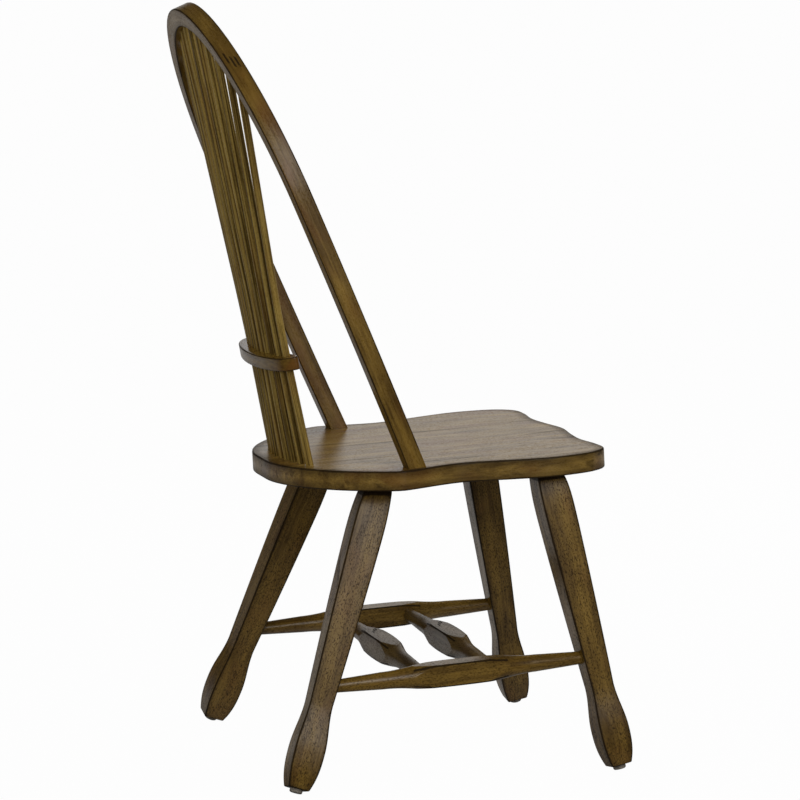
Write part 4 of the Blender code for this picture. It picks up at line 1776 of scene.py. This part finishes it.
@dataclass
class Glides:
    """The moulded pads that the feet stand on, and their nails, which keep their CAD shape.

    Attributes:
        profile: Pairs of a share of the radius and a height above the pad's bottom.
    """

    undercarriage: Undercarriage
    radius: float = 9.3 * MM
    profile: tuple[Pair, ...] = (
        (0.66, 0),
        (0.82, 0.2 * MM),
        (0.93, 0.8 * MM),
        (0.985, 1.7 * MM),
        (1, 2.8 * MM),
    )
    sink: float = 1.5 * MM
    columns: int = 40
    nail_finish: NailSteel = NailSteel()

    def build(self) -> None:
        """Models the pads and dresses them and the nails."""
        blank = Bench.rod_blank("pad_blank", self.columns, len(self.profile))
        for row in Row:
            for side in Side:
                leg = self.undercarriage.leg(row, side)
                self.build_pad(Bench.copy(blank, f"{leg.name}_foot_pad"), leg)
        bpy.data.objects.remove(blank)
        material = self.nail_finish.material()
        for name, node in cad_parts.items():
            if name.startswith("nail_"):
                node.data.materials.clear()
                node.data.materials.append(material)
                LOG.info("%s: keeps its CAD shape, %s", name, self.nail_finish.name)

    def build_pad(self, pad: Object, leg: Leg) -> None:
        """Shapes one pad, square to its leg, so that its rim just stands on the floor.

        Args:
            pad: A copy of the blank.
            leg: The leg above the pad.
        """
        slope = leg.direction().z
        lean = math.sqrt(1 - slope**2)
        drops = [share * self.radius * lean - rise * slope for share, rise in self.profile]
        bottom = max(drops) / slope
        rings = [(share * self.radius, bottom + rise) for share, rise in self.profile]
        rings.append((self.radius, leg.sole_height / slope + self.sink))

        def spot(column: int, ring: int) -> tuple[Vector, Vector]:
            """The place of one corner of a ring, which also serves as its grain."""
            angle = math.tau * column / self.columns
            radius, height = rings[ring]
            place = Vector((math.cos(angle) * radius, math.sin(angle) * radius, height))
            return place, place

        Bench.lay_rings(pad, self.columns, len(self.profile), spot)
        place = frame_along(leg.axis_foot, leg.direction(), Vector((0, -1, 0)))
        Bench.hand_over(pad, place, MouldedNylon(), "glide_nylon", f"glide_{leg.name}")


# Studio


@dataclass(frozen=True)
class SoftLamp:
    """A soft square lamp, which faces the chair.

    Attributes:
        way: The azimuth and the elevation that it shines from, in degrees.
        reach: How far from the chair's middle it hangs.
        size: The length of its sides.
        power: Its power, in watts.
        mirrored: Whether it shows in reflections.
    """

    name: str
    way: Pair
    reach: float
    size: float
    power: float
    mirrored: bool = False

    def made(self) -> Object:
        """The lamp, not yet in the scene."""
        data = bpy.data.lights.new(self.name, "AREA")
        data.size = self.size
        data.energy = self.power
        lamp = bpy.data.objects.new(self.name, data)
        lamp.visible_glossy = self.mirrored
        lamp.visible_camera = False
        return lamp


LAMPS = (
    SoftLamp("key_lamp", (264, 21), 2.4, 1.5, 15.5),
    SoftLamp("overhead_lamp", (60, 80), 2.9, 2.2, 6.0),
    SoftLamp("front_lamp", (40, 32), 3.4, 2.2, 70.0),
    SoftLamp("rear_lamp", (208, 14), 3.0, 1.6, 14.0),
    SoftLamp("sheen_lamp", (277, 22), 3.05, 1.3, 19.5, mirrored=True),
    SoftLamp("low_lamp", (281, 4), 3.2, 1.2, 1.8, mirrored=True),
)


@dataclass
class Studio:
    """A pale floor, a white surround, soft lamps and the camera at the photograph's place.

    Attributes:
        room: How bright reflections see the surround away from the white backdrop.
        backdrop_way: The way from the chair to the white backdrop.
        view: The azimuth and the elevation of the camera, in degrees.
        target: The chair's middle, which lamps and camera face.
    """

    floor_size: float = 170.0
    floor_cuts: int = 3
    floor_dark: Colour = (0.24, 0.24, 0.23)
    floor_pale: Colour = (0.42, 0.42, 0.42)
    floor_clouds: Layer = Layer((0.8, 0.8, 0.8), 2)
    floor_glow: float = 0.98
    floor_mirror: float = 0.48
    floor_span: Pair = (-0.6, 0.6)
    surround_span: Pair = (0.92, 0.98)
    ambient: float = 0.25
    room: float = 0.04
    backdrop_way: Pair = (0.956, -0.293)
    view: Pair = (253.24, 7.62)
    distance: float = 5.5168
    target: Triple = (0, -0.044946, 0.5313)
    focal_pixels: float = 3767.4
    image_pixels: float = 800
    shift_pixels: Pair = (-10.14, -10.03)
    sensor: float = 36.0
    sight: float = 200.0

    def build(self) -> None:
        """Makes the floor, the surround, the lamps and the camera."""
        self.build_floor()
        self.build_world()
        for lamp in LAMPS:
            self.stand(lamp.made(), lamp.way, lamp.reach)
        self.build_camera()
        bpy.context.scene.view_settings.view_transform = "Standard"

    def shown(self, tree: Paint, mirrored: Signal, otherwise: float) -> tuple[Signal, Signal]:
        """What the background sends along a ray.

        Args:
            tree: The material's or world's tree.
            mirrored: How white the background is where a reflection sees it, from 0 to 1.
            otherwise: The strength for rays that only light the chair.

        Returns:
            Whether the ray sees the background, and the strength that it sees.
        """
        outputs = tree.node("ShaderNodeLightPath").outputs
        rays = ("Is Camera Ray", "Is Transmission Ray", "Is Glossy Ray")
        direct, through, glossy = (Signal(tree, outputs[ray]) for ray in rays)
        straight = direct.larger(through)
        seen = straight.larger(glossy)
        strength = straight + glossy * (self.room + (1 - self.room) * mirrored)
        return seen, strength + (1 - seen) * otherwise

    def ahead(self, tree: Paint, place: Socket) -> Signal:
        """How far a place or a direction lies towards the white backdrop."""
        x, y, _ = tree.parts(place)
        return x * self.backdrop_way[0] + y * self.backdrop_way[1]

    def build_floor(self) -> None:
        """Makes the floor, which glows to the camera and still takes the chair's shadow."""
        bpy.ops.object.select_all(action="DESELECT")
        bpy.ops.mesh.primitive_plane_add(size=self.floor_size)
        floor = Bench.added("studio_floor")
        with Bench.editing(floor):
            bpy.ops.mesh.select_all(action="SELECT")
            bpy.ops.mesh.subdivide(number_cuts=self.floor_cuts)
        material = bpy.data.materials.new("studio_floor_look")
        tree = Paint(material)
        place = tree.node("ShaderNodeTexCoord").outputs["Object"]
        colour = tree.blend(tree.noise(place, self.floor_clouds), self.floor_dark, self.floor_pale)
        matt = tree.node("ShaderNodeBsdfDiffuse", {}, {"Color": colour})
        mirrored = self.ahead(tree, place).rise(*self.floor_span) * self.floor_mirror
        seen, strength = self.shown(tree, mirrored, 0.0)
        glow = tree.node("ShaderNodeEmission", {}, {"Strength": strength})
        mixed = {0: seen * self.floor_glow, 1: matt.outputs[0], 2: glow.outputs[0]}
        tree.finish(tree.node("ShaderNodeMixShader", {}, mixed))
        floor.data.materials.append(material)

    def build_world(self) -> None:
        """Makes the surround: white where it is seen, and dimmer as light on the chair."""
        world = bpy.data.worlds.new("studio_surround")
        bpy.context.scene.world = world
        tree = Paint(world)
        way = tree.node("ShaderNodeTexCoord").outputs["Generated"]
        mirrored = self.ahead(tree, way).rise(*self.surround_span)
        _, strength = self.shown(tree, mirrored, self.ambient)
        white = {"Color": (1, 1, 1, 1), "Strength": strength}
        tree.finish(tree.node("ShaderNodeBackground", {}, white))

    def stand(self, item: Object, way: Pair, reach: float) -> None:
        """Stands a lamp or the camera in the scene, facing the chair's middle.

        Args:
            item: The lamp or the camera.
            way: Its azimuth, from straight ahead of the chair, and its elevation, in degrees.
            reach: How far from the chair's middle it stands.
        """
        azimuth, elevation = map(math.radians, way)
        flat = math.cos(elevation)
        back = Vector((math.sin(azimuth) * flat, -math.cos(azimuth) * flat, math.sin(elevation)))
        item.location = Vector(self.target) + back * reach
        item.rotation_euler = (-back).to_track_quat("-Z", "Y").to_euler()
        bpy.context.scene.collection.objects.link(item)

    def build_camera(self) -> None:
        """Sets the camera at the photograph's viewing angle."""
        data = bpy.data.cameras.new("photo_camera")
        data.sensor_width = self.sensor
        data.lens = self.focal_pixels * self.sensor / self.image_pixels
        data.shift_x, data.shift_y = (pixels / self.image_pixels for pixels in self.shift_pixels)
        data.clip_end = self.sight
        camera = bpy.data.objects.new("photo_camera", data)
        self.stand(camera, self.view, self.distance)
        bpy.context.scene.camera = camera


def main() -> None:
    """Builds the chair's looks piece by piece, then the studio."""
    logging.basicConfig(level=logging.INFO, format="%(message)s")
    seat = Seat()
    bow = Bow(seat)
    undercarriage = Undercarriage(seat)
    for assembly in (seat, undercarriage, bow, Sheaf(seat, bow), Glides(undercarriage), Studio()):
        assembly.build()
        LOG.info("%s is done", type(assembly).__name__)


if __name__ == "__main__":
    main()
